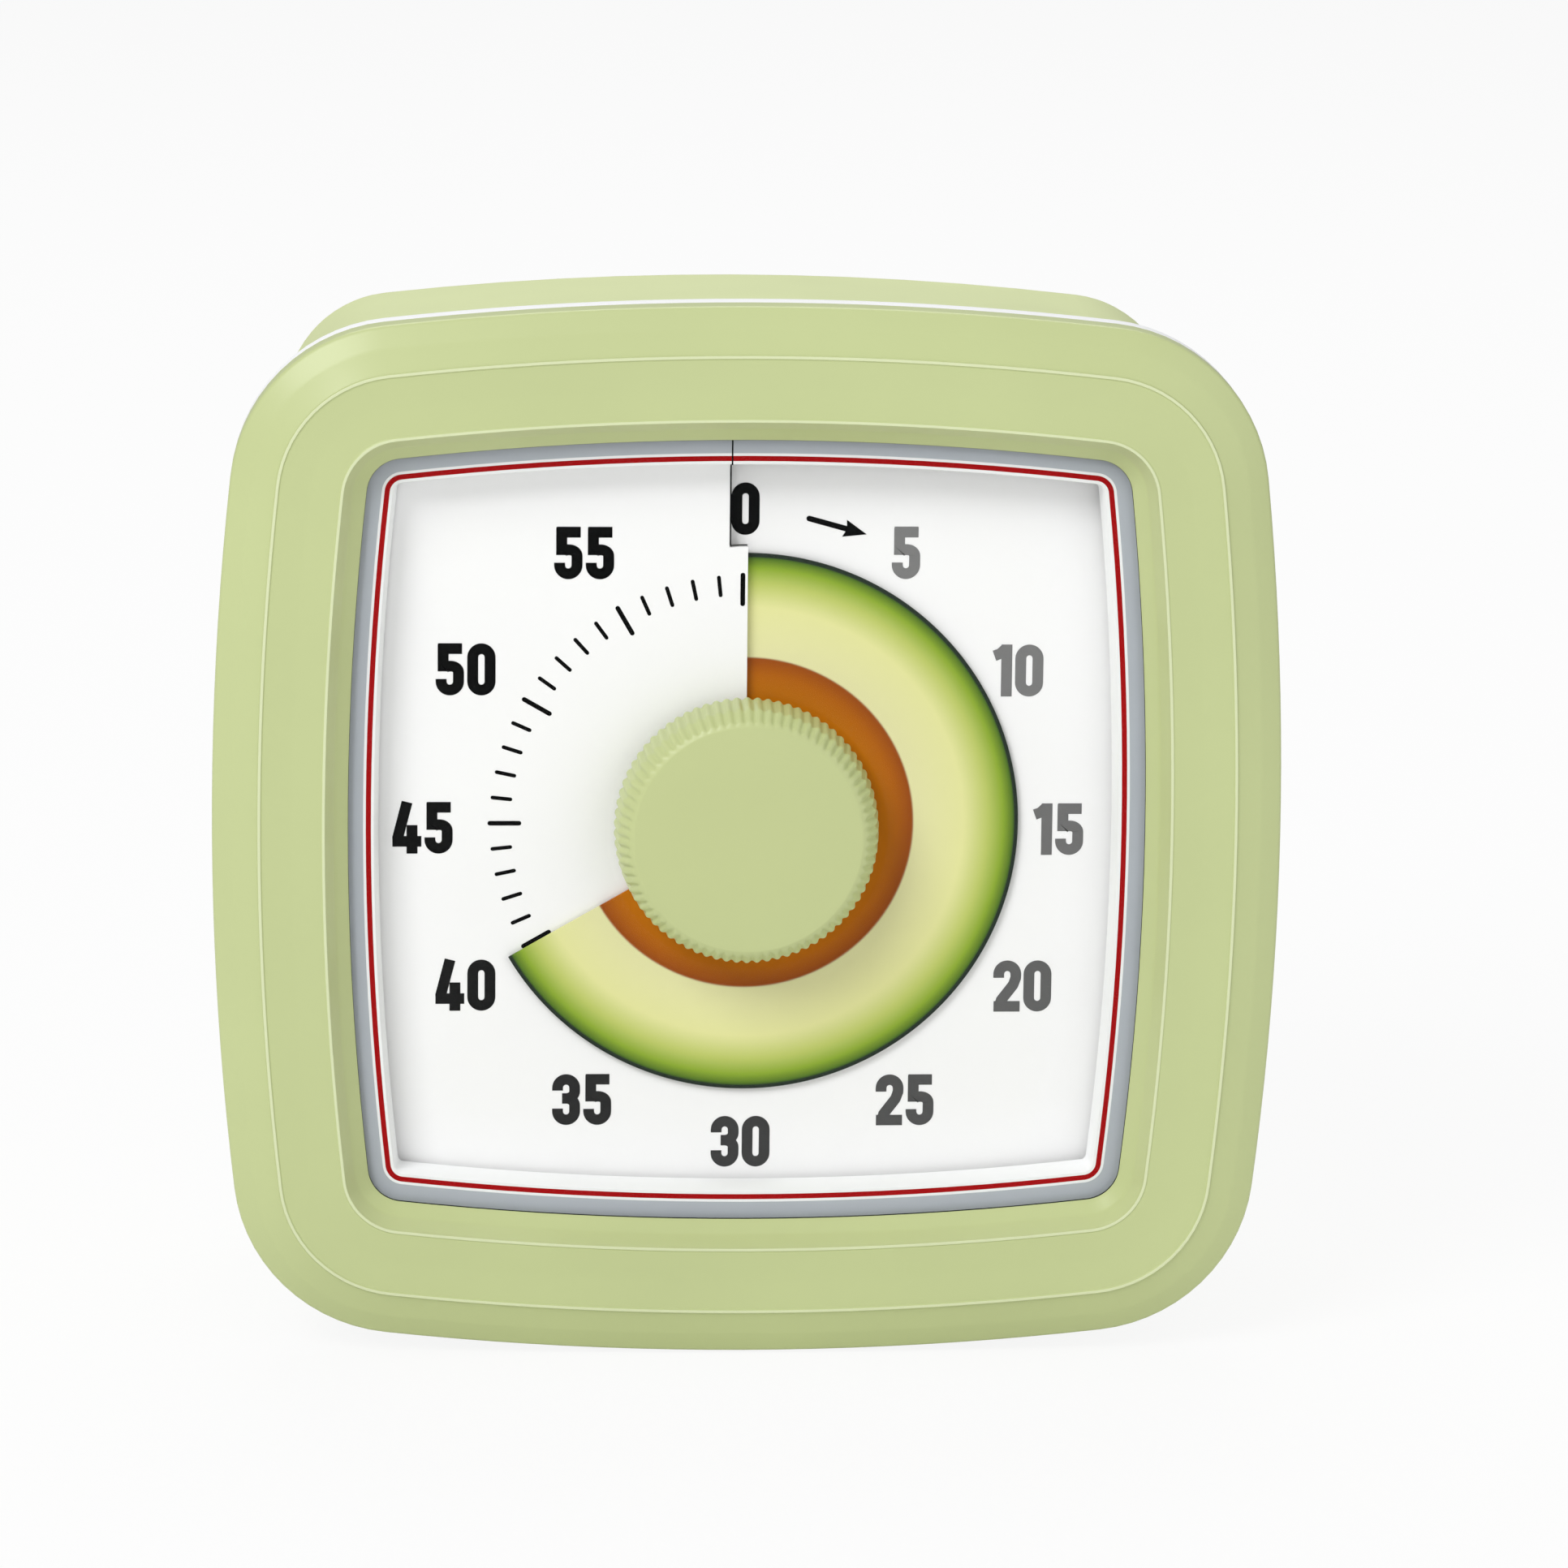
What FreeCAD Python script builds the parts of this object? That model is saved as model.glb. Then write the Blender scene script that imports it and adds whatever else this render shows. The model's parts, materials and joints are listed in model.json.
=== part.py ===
import FreeCAD, Part
import math
import os
import re
import Sketcher

# A spring-wound visual timer: a barrel-sided case with a stepped bezel, a slit dial, a coloured
# film that winds out through the slit, a fluted knob, and a plate movement with bell and hammer.
#
# Every piece is drawn in the case's own frame: X to the right, Y up and Z towards the viewer, with
# Z = 0 on the back of the bezel and the winding axis on X = Y = 0. STAND_UP turns it upright.

document = FreeCAD.newDocument("visual_timer")
sheet = document.addObject("Spreadsheet::Sheet", "Sizes")

SIZES = {
    # outlines, as half widths at the middle of a side
    "bezel_half": 43.0, "side_radius": 262.0, "window_half": 32.1, "window_corner": 2.9,
    "crest_inset": 3.8, "slope_width": 2.0, "cover_half": 39.4, "cover_corner": 9.6,
    # bezel heights in front of its back face, and its moulded wall
    "rim_height": 2.2, "crest_height": 4.0, "cove_height": 3.8, "window_height": 1.2,
    "lip_thickness": 0.2, "bead": 0.3, "bezel_wall": 1.7, "seat_margin": 0.9, "fit_gap": 0.15,
    "hollow_share": 0.45, "hollow_rise": 0.4,
    # tray with its flange, pan and posts
    "flange_inset": 0.2, "flange_depth": 2.2, "pan_gap": 0.3, "pan_depth": 5.4, "pan_floor": 1.2,
    "pan_wall": 1.6, "boss_radius": 3.4, "boss_length": 5.4, "screw_offset": 28.0,
    "post_length": 3.0, "post_radius": 2.6, "post_offset": 18.0, "arbor_clearance": 0.6,
    # rear cover, feet and fasteners
    "cover_depth": 41.0, "cover_wall": 1.8, "cover_round": 3.6, "slot_width": 2.4,
    "slot_length": 26.0, "slot_pitch": 5.2, "slot_count": 5.0, "foot_width": 9.0,
    "foot_length": 26.0, "foot_spacing": 44.0, "foot_front": 9.0, "floor_gap": 0.2,
    "pad_thickness": 1.2, "pad_margin": 1.2, "pad_recess": 0.6, "screw_radius": 1.25,
    "screw_head": 2.4, "screw_head_height": 1.6, "screw_length": 6.0, "screw_web": 1.5,
    "driver_slot": 0.6,
    # window lens and dial surround
    "lens_thickness": 0.6, "lens_gap": 0.6, "surround_thickness": 0.6, "border_shown": 2.1,
    "skirt_wall": 0.5, "skirt_draft": 0.3, "skirt_gap": 0.05,
    # slit dial and coloured film
    "dial_inset": 1.0, "dial_thickness": 0.5, "dial_depth": 3.3, "dial_hole": 4.6,
    "slit_jog": 1.1, "jog_radius": 22.8, "slit_gap": 0.12, "film_radius": 22.0,
    "film_thickness": 0.25, "film_gap": 0.225, "film_minutes": 40.0, "hub_radius": 3.4,
    "hub_margin": 0.45, "running_gap": 0.06, "dial_steps": 48.0, "film_steps": 72.0,
    # knob
    "knob_radius": 10.75, "knob_face_radius": 9.6, "knob_face": 3.7, "knob_lift": 0.2,
    "bore_depth": 3.4, "flute_count": 78.0, "flute_depth": 0.24,
    # movement plates, pillars and arbor
    "plate_half": 25.0, "plate_corner": 4.0, "plate_thickness": 1.0, "plate_distance": 15.2,
    "pillar_radius": 1.8, "pillar_offset": 21.5, "rivet_radius": 1.0, "arbor_radius": 2.0,
    "arbor_flat": 1.5, "arbor_tail": 3.6, "arbor_collar": 0.7, "staff_radius": 0.8,
    "pivot_radius": 0.5, "small_head": 2.0,
    # train
    "wheel_teeth": 40.0, "pinion_teeth": 10.0, "main_module": 0.56, "train_module": 0.5,
    "wheel_thickness": 0.9, "layer_pitch": 2.0, "first_layer": 5.2, "tooth_play": 0.06,
    "rim_width": 1.6, "spoke_width": 1.5, "second_bearing": 225.0, "third_bearing": 110.0,
    "tooth_root": 1.15, "tooth_tip": 0.8,
    "escape_bearing": 60.0, "escape_teeth": 18.0, "escape_radius": 7.2, "escape_tooth": 1.5,
    "escape_tip_share": 0.1, "escape_face_share": 0.28, "escape_root_share": 0.95,
    "balance_bearing": 15.0, "balance_reach": 14.2, "balance_radius": 5.6, "balance_rim": 1.2,
    "pallet_gap": 0.6, "spring_turns": 3.0, "spring_pitch": 1.5, "spring_strip": 0.3, "spring_width": 4.0,
    "spring_gap": 0.4,
    # strike work
    "cam_radius": 6.0, "cam_notch": 1.4, "cam_thickness": 1.2, "cam_gap": 0.8, "bell_radius": 15.0,
    "bell_height": 6.0, "bell_wall": 0.7, "bell_steps": 3.0, "bell_sides": 48.0, "bell_x": 8.0, "bell_y": -4.0, "bell_gap": 5.0,
    "bell_post": 1.5, "hammer_x": -20.0, "hammer_y": -12.0, "strike_gap": 0.7,
    "hammer_head": 1.8, "hammer_arm": 1.6, "hammer_hub": 2.4, "hammer_stud": 1.2,
    "strike_bearing": 165.0,
}

for row, (alias, size) in enumerate(SIZES.items(), start=1):
    sheet.set("A%d" % row, alias)
    sheet.set("B%d" % row, "%g" % size)
    sheet.setAlias("B%d" % row, alias)
document.recompute()

# Sizes worked out from the driving ones, as formulas over the sheet

DERIVED = {
    "film_pitch": "dial_thickness + film_thickness + 2 * film_gap",
    "bezel_corner": "window_corner + bezel_half - window_half",
    "crest_half": "bezel_half - crest_inset",
    "cove_half": "window_half + slope_width",
    "surround_half": "window_half - border_shown",
    "dial_half": "window_half - dial_inset",
    "pan_half": "dial_half + pan_gap",
    "seat_half": "window_half + seat_margin",
    "bezel_inner": "seat_half + fit_gap",
    "lens_front": "window_height - lip_thickness",
    "lens_back": "lens_front - lens_thickness",
    "surround_back": "lens_back - surround_thickness",
    "flange_half": "bezel_half - flange_inset",
    "pan_back": "pan_depth + pan_floor",
    "boss_back": "pan_back + boss_length",
    "plate_front": "pan_back + post_length",
    "plate_back": "plate_front + plate_thickness",
    "rear_plate": "plate_back + plate_distance",
    "rear_plate_back": "rear_plate + plate_thickness",
    "cover_back": "flange_depth + cover_depth",
    "skirt_back": "-dial_depth + film_pitch / 2 + dial_thickness / 2 + skirt_gap",
    "hammer_back": "rear_plate_back + bell_gap + 2 * hammer_arm",
    "knob_base": "-dial_depth + film_pitch + hub_margin + knob_lift",
    "foot_bottom": "bezel_half + floor_gap",
    "wheel_reach": "main_module * (wheel_teeth + pinion_teeth) / 2",
    "train_reach": "train_module * (wheel_teeth + pinion_teeth) / 2",
    "second_x": "wheel_reach * cos(second_bearing * 1deg)",
    "second_y": "wheel_reach * sin(second_bearing * 1deg)",
    "third_x": "second_x + train_reach * cos(third_bearing * 1deg)",
    "third_y": "second_y + train_reach * sin(third_bearing * 1deg)",
    "escape_x": "third_x + train_reach * cos(escape_bearing * 1deg)",
    "escape_y": "third_y + train_reach * sin(escape_bearing * 1deg)",
    "balance_x": "escape_x + balance_reach * cos(balance_bearing * 1deg)",
    "balance_y": "escape_y + balance_reach * sin(balance_bearing * 1deg)",
}

for row, (alias, formula) in enumerate(DERIVED.items(), start=len(SIZES) + 2):
    sheet.set("A%d" % row, alias)
    sheet.set("B%d" % row, "=" + formula)
    sheet.setAlias("B%d" % row, alias)
document.recompute()

ALIASES = set(SIZES) | set(DERIVED)


def linked(formula):
    """A formula over aliases, written so that an object of the document can be bound to it."""
    return re.sub(r"[a-z_]+", lambda word: ("Sizes." if word.group() in ALIASES else "") + word.group(), formula)


def size(formula):
    """The present value of a formula over aliases."""
    return float(sheet.evalExpression(linked(formula)))


def bind(item, attribute, formula):
    """Ties a property or a constraint of a document object to the sheet."""
    item.setExpression(attribute, linked(formula))


V = FreeCAD.Vector
TOWARDS_VIEWER = V(0, 0, 1)
TINY = 1e-6
sub_parts = []


def keep(label, item):
    """Registers a sub-part under its label and stands it up on the floor, middle over the origin."""
    item.Label = label
    item.Placement = FreeCAD.Placement(FreeCAD.Vector(0, 0, 0), FreeCAD.Rotation(FreeCAD.Vector(1, 0, 0), 90))
    bind(item, "Placement.Base.y", "(crest_height - cover_back) / 2")
    bind(item, "Placement.Base.z", "foot_bottom")
    sub_parts.append(item)
    return item


def solid_part(label, shape):
    """A sub-part whose form is worked out with Part's own functions from the sheet's values."""
    place = shape.Placement.toMatrix()
    settled = shape.copy()
    settled.Placement = FreeCAD.Placement()
    item = document.addObject("Part::Feature", label)
    item.Shape = settled.transformed(place, True)
    return keep(label, item)


# Sketch and feature helpers

class Piece:
    """A PartDesign body whose sketches and features are all bound to the sheet."""

    def __init__(self, label):
        self.body = document.addObject("PartDesign::Body", label)
        self.label = label
        self.count = 0

    def name(self, kind):
        self.count += 1
        return "%s_%s_%d" % (self.label, kind, self.count)

    def sketch(self, role="XY_Plane", height=None):
        """An empty sketch on one of the body's origin planes, raised along its normal."""
        drawing = self.body.newObject("Sketcher::SketchObject", self.name("sketch"))
        plane = next(item for item in self.body.Origin.OriginFeatures if item.Role == role)
        drawing.AttachmentSupport = [(plane, "")]
        drawing.MapMode = "FlatFace"
        if height is not None:
            bind(drawing, "AttachmentOffset.Base.z", height)
        return drawing

    def add(self, kind, drawing, **attributes):
        """A feature on a sketch; text values are bound to the sheet, others are set."""
        feature = self.body.newObject("PartDesign::" + kind, self.name(kind.lower()))
        feature.Profile = drawing
        for attribute, value in attributes.items():
            if attribute in ("Length", "Angle", "Size", "Radius"):
                bind(feature, attribute, value)
            else:
                setattr(feature, attribute, value)
        drawing.Visibility = False
        document.recompute()
        return feature

    def pad(self, drawing, length, back=False):
        return self.add("Pad", drawing, Length=length, Reversed=back)

    def pocket(self, drawing, length, front=False):
        return self.add("Pocket", drawing, Length=length, Reversed=front)

    def revolve(self, drawing, kind="Revolution"):
        return self.add(kind, drawing, ReferenceAxis=(drawing, ["V_Axis"]))

    def round(self, edges, radius, kind="Fillet"):
        """A fillet or chamfer on the listed edges of the last feature."""
        base = self.body.Tip
        feature = self.body.newObject("PartDesign::" + kind, self.name(kind.lower()))
        feature.Base = (base, edges)
        bind(feature, "Radius" if kind == "Fillet" else "Size", radius)
        document.recompute()
        return feature

    def edges_where(self, test):
        """Names of the last feature's edges whose box and curve pass a test."""
        shape = self.body.Tip.Shape
        return ["Edge%d" % (index + 1) for index, edge in enumerate(shape.Edges) if test(edge)]

    def done(self):
        return keep(self.label, self.body)


def fix_point(drawing, geometry, place, x, y):
    """Holds a point of a sketch at two formulas from the sketch's origin."""
    for axis, formula in (("DistanceX", x), ("DistanceY", y)):
        index = drawing.addConstraint(Sketcher.Constraint(axis, -1, 1, geometry, place, size(formula)))
        drawing.setExpression("Constraints[%d]" % index, linked(formula))


def fix_radius(drawing, geometry, formula):
    """Holds a circle's or an arc's radius at a formula."""
    index = drawing.addConstraint(Sketcher.Constraint("Radius", geometry, size(formula)))
    drawing.setExpression("Constraints[%d]" % index, linked(formula))


def polygon(drawing, points):
    """A closed outline through points given as pairs of formulas."""
    places = [FreeCAD.Vector(size(x), size(y), 0) for x, y in points]
    first = drawing.GeometryCount
    count = len(points)
    for index in range(count):
        drawing.addGeometry(Part.LineSegment(places[index], places[(index + 1) % count]))
    for index in range(count):
        following = first + (index + 1) % count
        drawing.addConstraint(Sketcher.Constraint("Coincident", first + index, 2, following, 1))
    for index, (x, y) in enumerate(points):
        fix_point(drawing, first + index, 1, x, y)
    return drawing


def circle(drawing, radius, x="0", y="0"):
    """A circle held by formulas."""
    centre = FreeCAD.Vector(size(x), size(y), 0)
    geometry = drawing.addGeometry(Part.Circle(centre, TOWARDS_VIEWER, size(radius)))
    fix_point(drawing, geometry, 3, x, y)
    fix_radius(drawing, geometry, radius)
    return drawing


def barrel(drawing, half, family="bezel", split=False):
    """The case outline with four bulging sides and four tangent corners, offset to a half width."""
    inward = "(%s_half - (%s))" % (family, half)
    side = "side_radius - %s" % inward
    corner = "%s_corner - %s" % (family, inward)
    reach = "(%s - (%s))" % (side, half)
    gap = size(side) - size(corner)
    run = (-size(reach) + math.sqrt(2 * gap ** 2 - size(reach) ** 2)) / 2
    swing = math.atan2(run, run + size(reach))
    quarter = math.pi / 2
    arcs = []
    for turn in range(4):
        facing = turn * quarter
        centre = FreeCAD.Vector(-size(reach) * math.cos(facing), -size(reach) * math.sin(facing), 0)
        ring = Part.Circle(centre, TOWARDS_VIEWER, size(side))
        starts = 0 if split and turn == 0 else -swing
        arcs.append(drawing.addGeometry(Part.ArcOfCircle(ring, facing + starts, facing + swing)))
        across, up = -round(math.cos(facing)), -round(math.sin(facing))
        fix_point(drawing, arcs[-1], 3, "%d * %s" % (across, reach), "%d * %s" % (up, reach))
        fix_radius(drawing, arcs[-1], side)
        spread = FreeCAD.Vector(math.cos(facing + quarter / 2), math.sin(facing + quarter / 2), 0)
        ring = Part.Circle(spread * (run * math.sqrt(2)), TOWARDS_VIEWER, size(corner))
        arcs.append(drawing.addGeometry(Part.ArcOfCircle(ring, facing + swing, facing + quarter - swing)))
        fix_radius(drawing, arcs[-1], corner)
    if split:
        ring = Part.Circle(FreeCAD.Vector(-size(reach), 0, 0), TOWARDS_VIEWER, size(side))
        arcs.append(drawing.addGeometry(Part.ArcOfCircle(ring, -swing, 0)))
        drawing.addConstraint(Sketcher.Constraint("PointOnObject", arcs[-1], 2, -1))
        drawing.addConstraint(Sketcher.Constraint("Coincident", arcs[-1], 2, arcs[0], 1))
        drawing.addConstraint(Sketcher.Constraint("Coincident", arcs[-1], 3, arcs[0], 3))
    for index in range(len(arcs) - (1 if split else 0)):
        drawing.addConstraint(Sketcher.Constraint("Tangent", arcs[index], 2, arcs[(index + 1) % len(arcs)], 1))
    return drawing


def square(x, y):
    """Four places at plus and minus two formulas."""
    return [("%s(%s)" % (first, x), "%s(%s)" % (second, y)) for first in ("-", "+") for second in ("-", "+")]


def rectangle(drawing, left, right, low, high):
    """A rectangle between four formulas."""
    return polygon(drawing, [(left, low), (right, low), (right, high), (left, high)])


# Case

def make_bezel():
    """The bezel's moulded section swept round the barrel outline, hollow behind its crest."""
    piece = Piece("bezel")
    path = barrel(piece.sketch(), "bezel_half", split=True)
    section = polygon(piece.sketch("XZ_Plane"), [
        ("bezel_half", "0"),
        ("bezel_half", "rim_height - bead"),
        ("bezel_half - bead", "rim_height"),
        ("crest_half", "crest_height"),
        ("crest_half - bead", "crest_height - bead / 2"),
        ("cove_half", "cove_height"),
        ("window_half + hollow_share * slope_width", "window_height + hollow_rise * (cove_height - window_height)"),
        ("window_half", "window_height"),
        ("window_half", "lens_front"),
        ("bezel_inner", "lens_front"),
        ("bezel_inner", "0"),
        ("bezel_inner + bezel_wall", "0"),
        ("bezel_inner + bezel_wall", "cove_height - bezel_wall"),
        ("crest_half", "crest_height - bezel_wall"),
        ("bezel_half - bezel_wall", "rim_height - bezel_wall"),
        ("bezel_half - bezel_wall", "0"),
    ])
    document.recompute()
    pipe = piece.body.newObject("PartDesign::AdditivePipe", "bezel_sweep")
    pipe.Profile = section
    pipe.Spine = (path, ["Edge%d" % (index + 1) for index in range(len(path.Shape.Edges))])
    return piece.done()


def make_dial_tray():
    """The white tray: flange between bezel and cover, pan for lens and dial, bosses and posts."""
    piece = Piece("dial_tray")
    piece.pad(barrel(piece.sketch(height="-flange_depth"), "flange_half"), "flange_depth")
    piece.pad(barrel(piece.sketch(height="-pan_back"), "pan_half + pan_wall"), "pan_back")
    bosses = piece.sketch(height="-boss_back")
    for x, y in square("screw_offset", "screw_offset"):
        circle(bosses, "boss_radius", x, y)
    piece.pad(bosses, "boss_back - pan_back + pan_floor / 2")
    posts = piece.sketch(height="-plate_front")
    for x, y in square("post_offset", "post_offset"):
        circle(posts, "post_radius", x, y)
    piece.pad(posts, "post_length + pan_floor / 2")
    piece.pocket(barrel(piece.sketch(), "bezel_inner"), "-surround_back")
    piece.pocket(barrel(piece.sketch(), "pan_half"), "pan_depth")
    piece.pocket(circle(piece.sketch(), "arbor_radius + arbor_clearance"), "pan_back")
    pilots = piece.sketch(height="-boss_back")
    for x, y in square("screw_offset", "screw_offset"):
        circle(pilots, "screw_radius", x, y)
    piece.pocket(pilots, "screw_length - screw_web + fit_gap", front=True)
    pilots = piece.sketch(height="-plate_front")
    for x, y in square("post_offset", "post_offset"):
        circle(pilots, "rivet_radius", x, y)
    piece.pocket(pilots, "post_length", front=True)
    return piece.done()


def make_rear_cover():
    """The rear cover: rounded shell with screw columns, sound slots and two feet."""
    piece = Piece("rear_cover")
    piece.pad(barrel(piece.sketch(height="-cover_back"), "cover_half", "cover"), "cover_depth")
    rear = -size("cover_back")
    piece.round(piece.edges_where(lambda edge: abs(edge.BoundBox.ZMax - rear) < TINY), "cover_round")
    feet = piece.sketch(height="-foot_front - foot_length")
    for side in ("-", ""):
        left = "%sfoot_spacing / 2 - foot_width / 2" % side
        low = "-foot_bottom + pad_thickness - pad_recess"
        rectangle(feet, left, left + " + foot_width", low, "cover_wall - cover_half")
    piece.pad(feet, "foot_length")
    inside = barrel(piece.sketch(height="-flange_depth"), "cover_half - cover_wall", "cover")
    piece.pocket(inside, "cover_depth - cover_wall")
    columns = piece.sketch(height="-cover_back + cover_wall / 2")
    for x, y in square("screw_offset", "screw_offset"):
        circle(columns, "boss_radius", x, y)
    piece.pad(columns, "cover_back - cover_wall / 2 - boss_back")
    wells = piece.sketch(height="-cover_back")
    holes = piece.sketch(height="-boss_back")
    for x, y in square("screw_offset", "screw_offset"):
        circle(wells, "screw_head + fit_gap", x, y)
        circle(holes, "screw_radius + fit_gap", x, y)
    piece.pocket(wells, "cover_back - boss_back - screw_web", front=True)
    piece.pocket(holes, "screw_web")
    recesses = piece.sketch(height="-foot_front - pad_margin")
    for side in ("-", ""):
        left = "%sfoot_spacing / 2 - foot_width / 2 + pad_margin" % side
        right = left + " + foot_width - 2 * pad_margin"
        rectangle(recesses, left, right, "-foot_bottom", "-foot_bottom + pad_thickness")
    piece.pocket(recesses, "foot_length - 2 * pad_margin")
    slots = piece.sketch(height="-cover_back")
    for index in range(int(size("slot_count"))):
        low = "(%d - (slot_count - 1) / 2) * slot_pitch - slot_width / 2" % index
        rectangle(slots, "-slot_length / 2", "slot_length / 2", low, low + " + slot_width")
    piece.pocket(slots, "cover_wall", front=True)
    return piece.done()


def make_foot_pads():
    """Two rubber pads set in the feet; they carry the timer."""
    piece = Piece("foot_pads")
    pads = piece.sketch(height="-foot_front - foot_length + pad_margin + fit_gap / 3")
    for side in ("-", ""):
        left = "%sfoot_spacing / 2 - foot_width / 2 + pad_margin + fit_gap / 3" % side
        right = left + " + foot_width - 2 * pad_margin - 2 * fit_gap / 3"
        rectangle(pads, left, right, "-foot_bottom", "-foot_bottom + pad_thickness")
    piece.pad(pads, "foot_length - 2 * pad_margin - 2 * fit_gap / 3")
    return piece.done()


def make_case_screws():
    """The four screws that draw the rear cover to the tray."""
    piece = Piece("case_screws")
    heads = piece.sketch(height="-boss_back - screw_web - screw_head_height")
    shanks = piece.sketch(height="-boss_back - screw_web")
    slots = piece.sketch(height="-boss_back - screw_web - screw_head_height")
    for x, y in square("screw_offset", "screw_offset"):
        circle(heads, "screw_head", x, y)
        circle(shanks, "screw_radius", x, y)
        rectangle(slots, x + " - screw_head", x + " + screw_head", y + " - driver_slot / 2", y + " + driver_slot / 2")
    piece.pad(heads, "screw_head_height")
    piece.pad(shanks, "screw_length")
    piece.pocket(slots, "screw_head_height / 2", front=True)
    return piece.done()


def make_window_lens():
    """The clear lens under the bezel's lip, pierced for the knob."""
    piece = Piece("window_lens")
    piece.pad(barrel(piece.sketch(height="lens_back"), "seat_half"), "lens_thickness")
    piece.pocket(circle(piece.sketch(height="lens_front"), "knob_radius + lens_gap"), "lens_thickness")
    return piece.done()


def make_dial_surround():
    """The grey border behind the lens, its skirt down to the dial, and the slit through its top."""
    piece = Piece("dial_surround")
    path = barrel(piece.sketch(), "surround_half", split=True)
    section = polygon(piece.sketch("XZ_Plane"), [
        ("seat_half", "surround_back"),
        ("seat_half", "lens_back"),
        ("surround_half", "lens_back"),
        ("surround_half - skirt_draft", "skirt_back"),
        ("surround_half - skirt_draft + skirt_wall", "skirt_back"),
        ("surround_half + skirt_wall", "surround_back"),
    ])
    document.recompute()
    sweep = piece.body.newObject("PartDesign::AdditivePipe", "surround_sweep")
    sweep.Profile = section
    sweep.Spine = (path, ["Edge%d" % (index + 1) for index in range(len(path.Shape.Edges))])
    document.recompute()
    slit = piece.sketch(height="lens_back")
    low = "surround_half - border_shown"
    piece.pocket(rectangle(slit, "-slit_jog - slit_gap", "-slit_jog", low, "bezel_half"), "lens_back - skirt_back")
    return piece.done()


# Dial and film: both are one turn of a helicoid, so that the film can wind out through the slit

def panel(*corners):
    """A flat face through its corners."""
    return Part.Face(Part.makePolygon(list(corners) + [corners[0]]))


def closed(faces):
    """The solid that flat faces with shared edges enclose."""
    shell = Part.makeShell(faces)
    shell.sewShape()
    solid = Part.makeSolid(Part.Shell(shell.Faces))
    if solid.Volume < 0:
        solid.reverse()
    return solid


def helicoid(inner, outer, thickness, start_degrees, middle_height, steps):
    """One clockwise turn of a spiral plate in straight-edged steps, rising by the film pitch."""
    pitch = size("film_pitch")

    def corner(radius, step, side):
        angle = math.radians(90 - start_degrees - 360 * step / steps)
        height = middle_height + pitch * step / steps + side * thickness / 2
        return V(radius * math.cos(angle), radius * math.sin(angle), height)

    faces = []
    for step in range(steps):
        for side in (-1, 1):
            near, far = corner(inner, step, side), corner(outer, step + 1, side)
            faces.append(panel(near, corner(outer, step, side), far))
            faces.append(panel(near, far, corner(inner, step + 1, side)))
        for radius in (inner, outer):
            low = (corner(radius, step, -1), corner(radius, step + 1, -1))
            faces.append(panel(low[0], low[1], corner(radius, step + 1, 1), corner(radius, step, 1)))
    for step in (0, steps):
        ends = (corner(inner, step, -1), corner(outer, step, -1), corner(outer, step, 1), corner(inner, step, 1))
        faces.append(panel(*ends))
    return closed(faces)


def block(left, right, low, high, back, front):
    """A box between its limits."""
    return Part.makeBox(right - left, high - low, front - back, V(left, low, back))


def drum(radius, back, front, x=0.0, y=0.0):
    """A round bar along the winding axis."""
    return Part.makeCylinder(radius, front - back, V(x, y, back), TOWARDS_VIEWER)


def make_dial_plate():
    """The white dial: slit from the hub to its top edge, its left flap forward of its right one."""
    outline = document.addObject("Sketcher::SketchObject", "dial_outline")
    barrel(outline, "dial_half")
    document.recompute()
    thickness = size("dial_thickness")
    half = size("dial_half")
    middle = -size("dial_depth")
    lowest = middle - size("film_pitch") / 2
    deep = 4 * size("film_pitch")
    prism = Part.Face(Part.Wire(Part.__sortEdges__(outline.Shape.Edges))).extrude(V(0, 0, 2 * deep))
    prism.translate(V(0, 0, middle - deep))
    beyond = math.hypot(half, half) + 1
    plate = helicoid(size("dial_hole"), beyond, thickness, 0, lowest, int(size("dial_steps")))
    jog = size("slit_jog")
    radius = size("jog_radius")
    gap = size("slit_gap")
    plate = plate.cut(block(-gap, 0, 0, radius, middle - deep, middle + deep))
    plate = plate.cut(block(-jog - gap, 0, radius, 2 * half, middle - deep, middle + deep))
    tongue = block(-jog, gap, radius + gap, 2 * half, lowest - thickness / 2, lowest + thickness / 2)
    plate = plate.fuse(tongue).common(prism)
    outline.Visibility = False
    return solid_part("dial_plate", plate.Solids[0] if len(plate.Solids) == 1 else plate)


def film_start():
    """Clockwise angle of the film's leading edge from the slit, in degrees."""
    return 360 * size("film_minutes") / 60


def film_lowest():
    """Height of the film's middle at its leading edge, half a pitch behind the dial there."""
    turns = film_start() / 360
    return -size("dial_depth") - size("film_pitch") + size("film_pitch") * turns


def make_sector_disc():
    """The coloured film: a full disc with one radial cut, wound through the dial's slit."""
    steps = int(size("film_steps"))
    inner = size("hub_radius") / math.cos(math.pi / steps)
    film = helicoid(inner, size("film_radius"), size("film_thickness"), film_start(), film_lowest(), steps)
    return solid_part("sector_disc", film)


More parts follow.
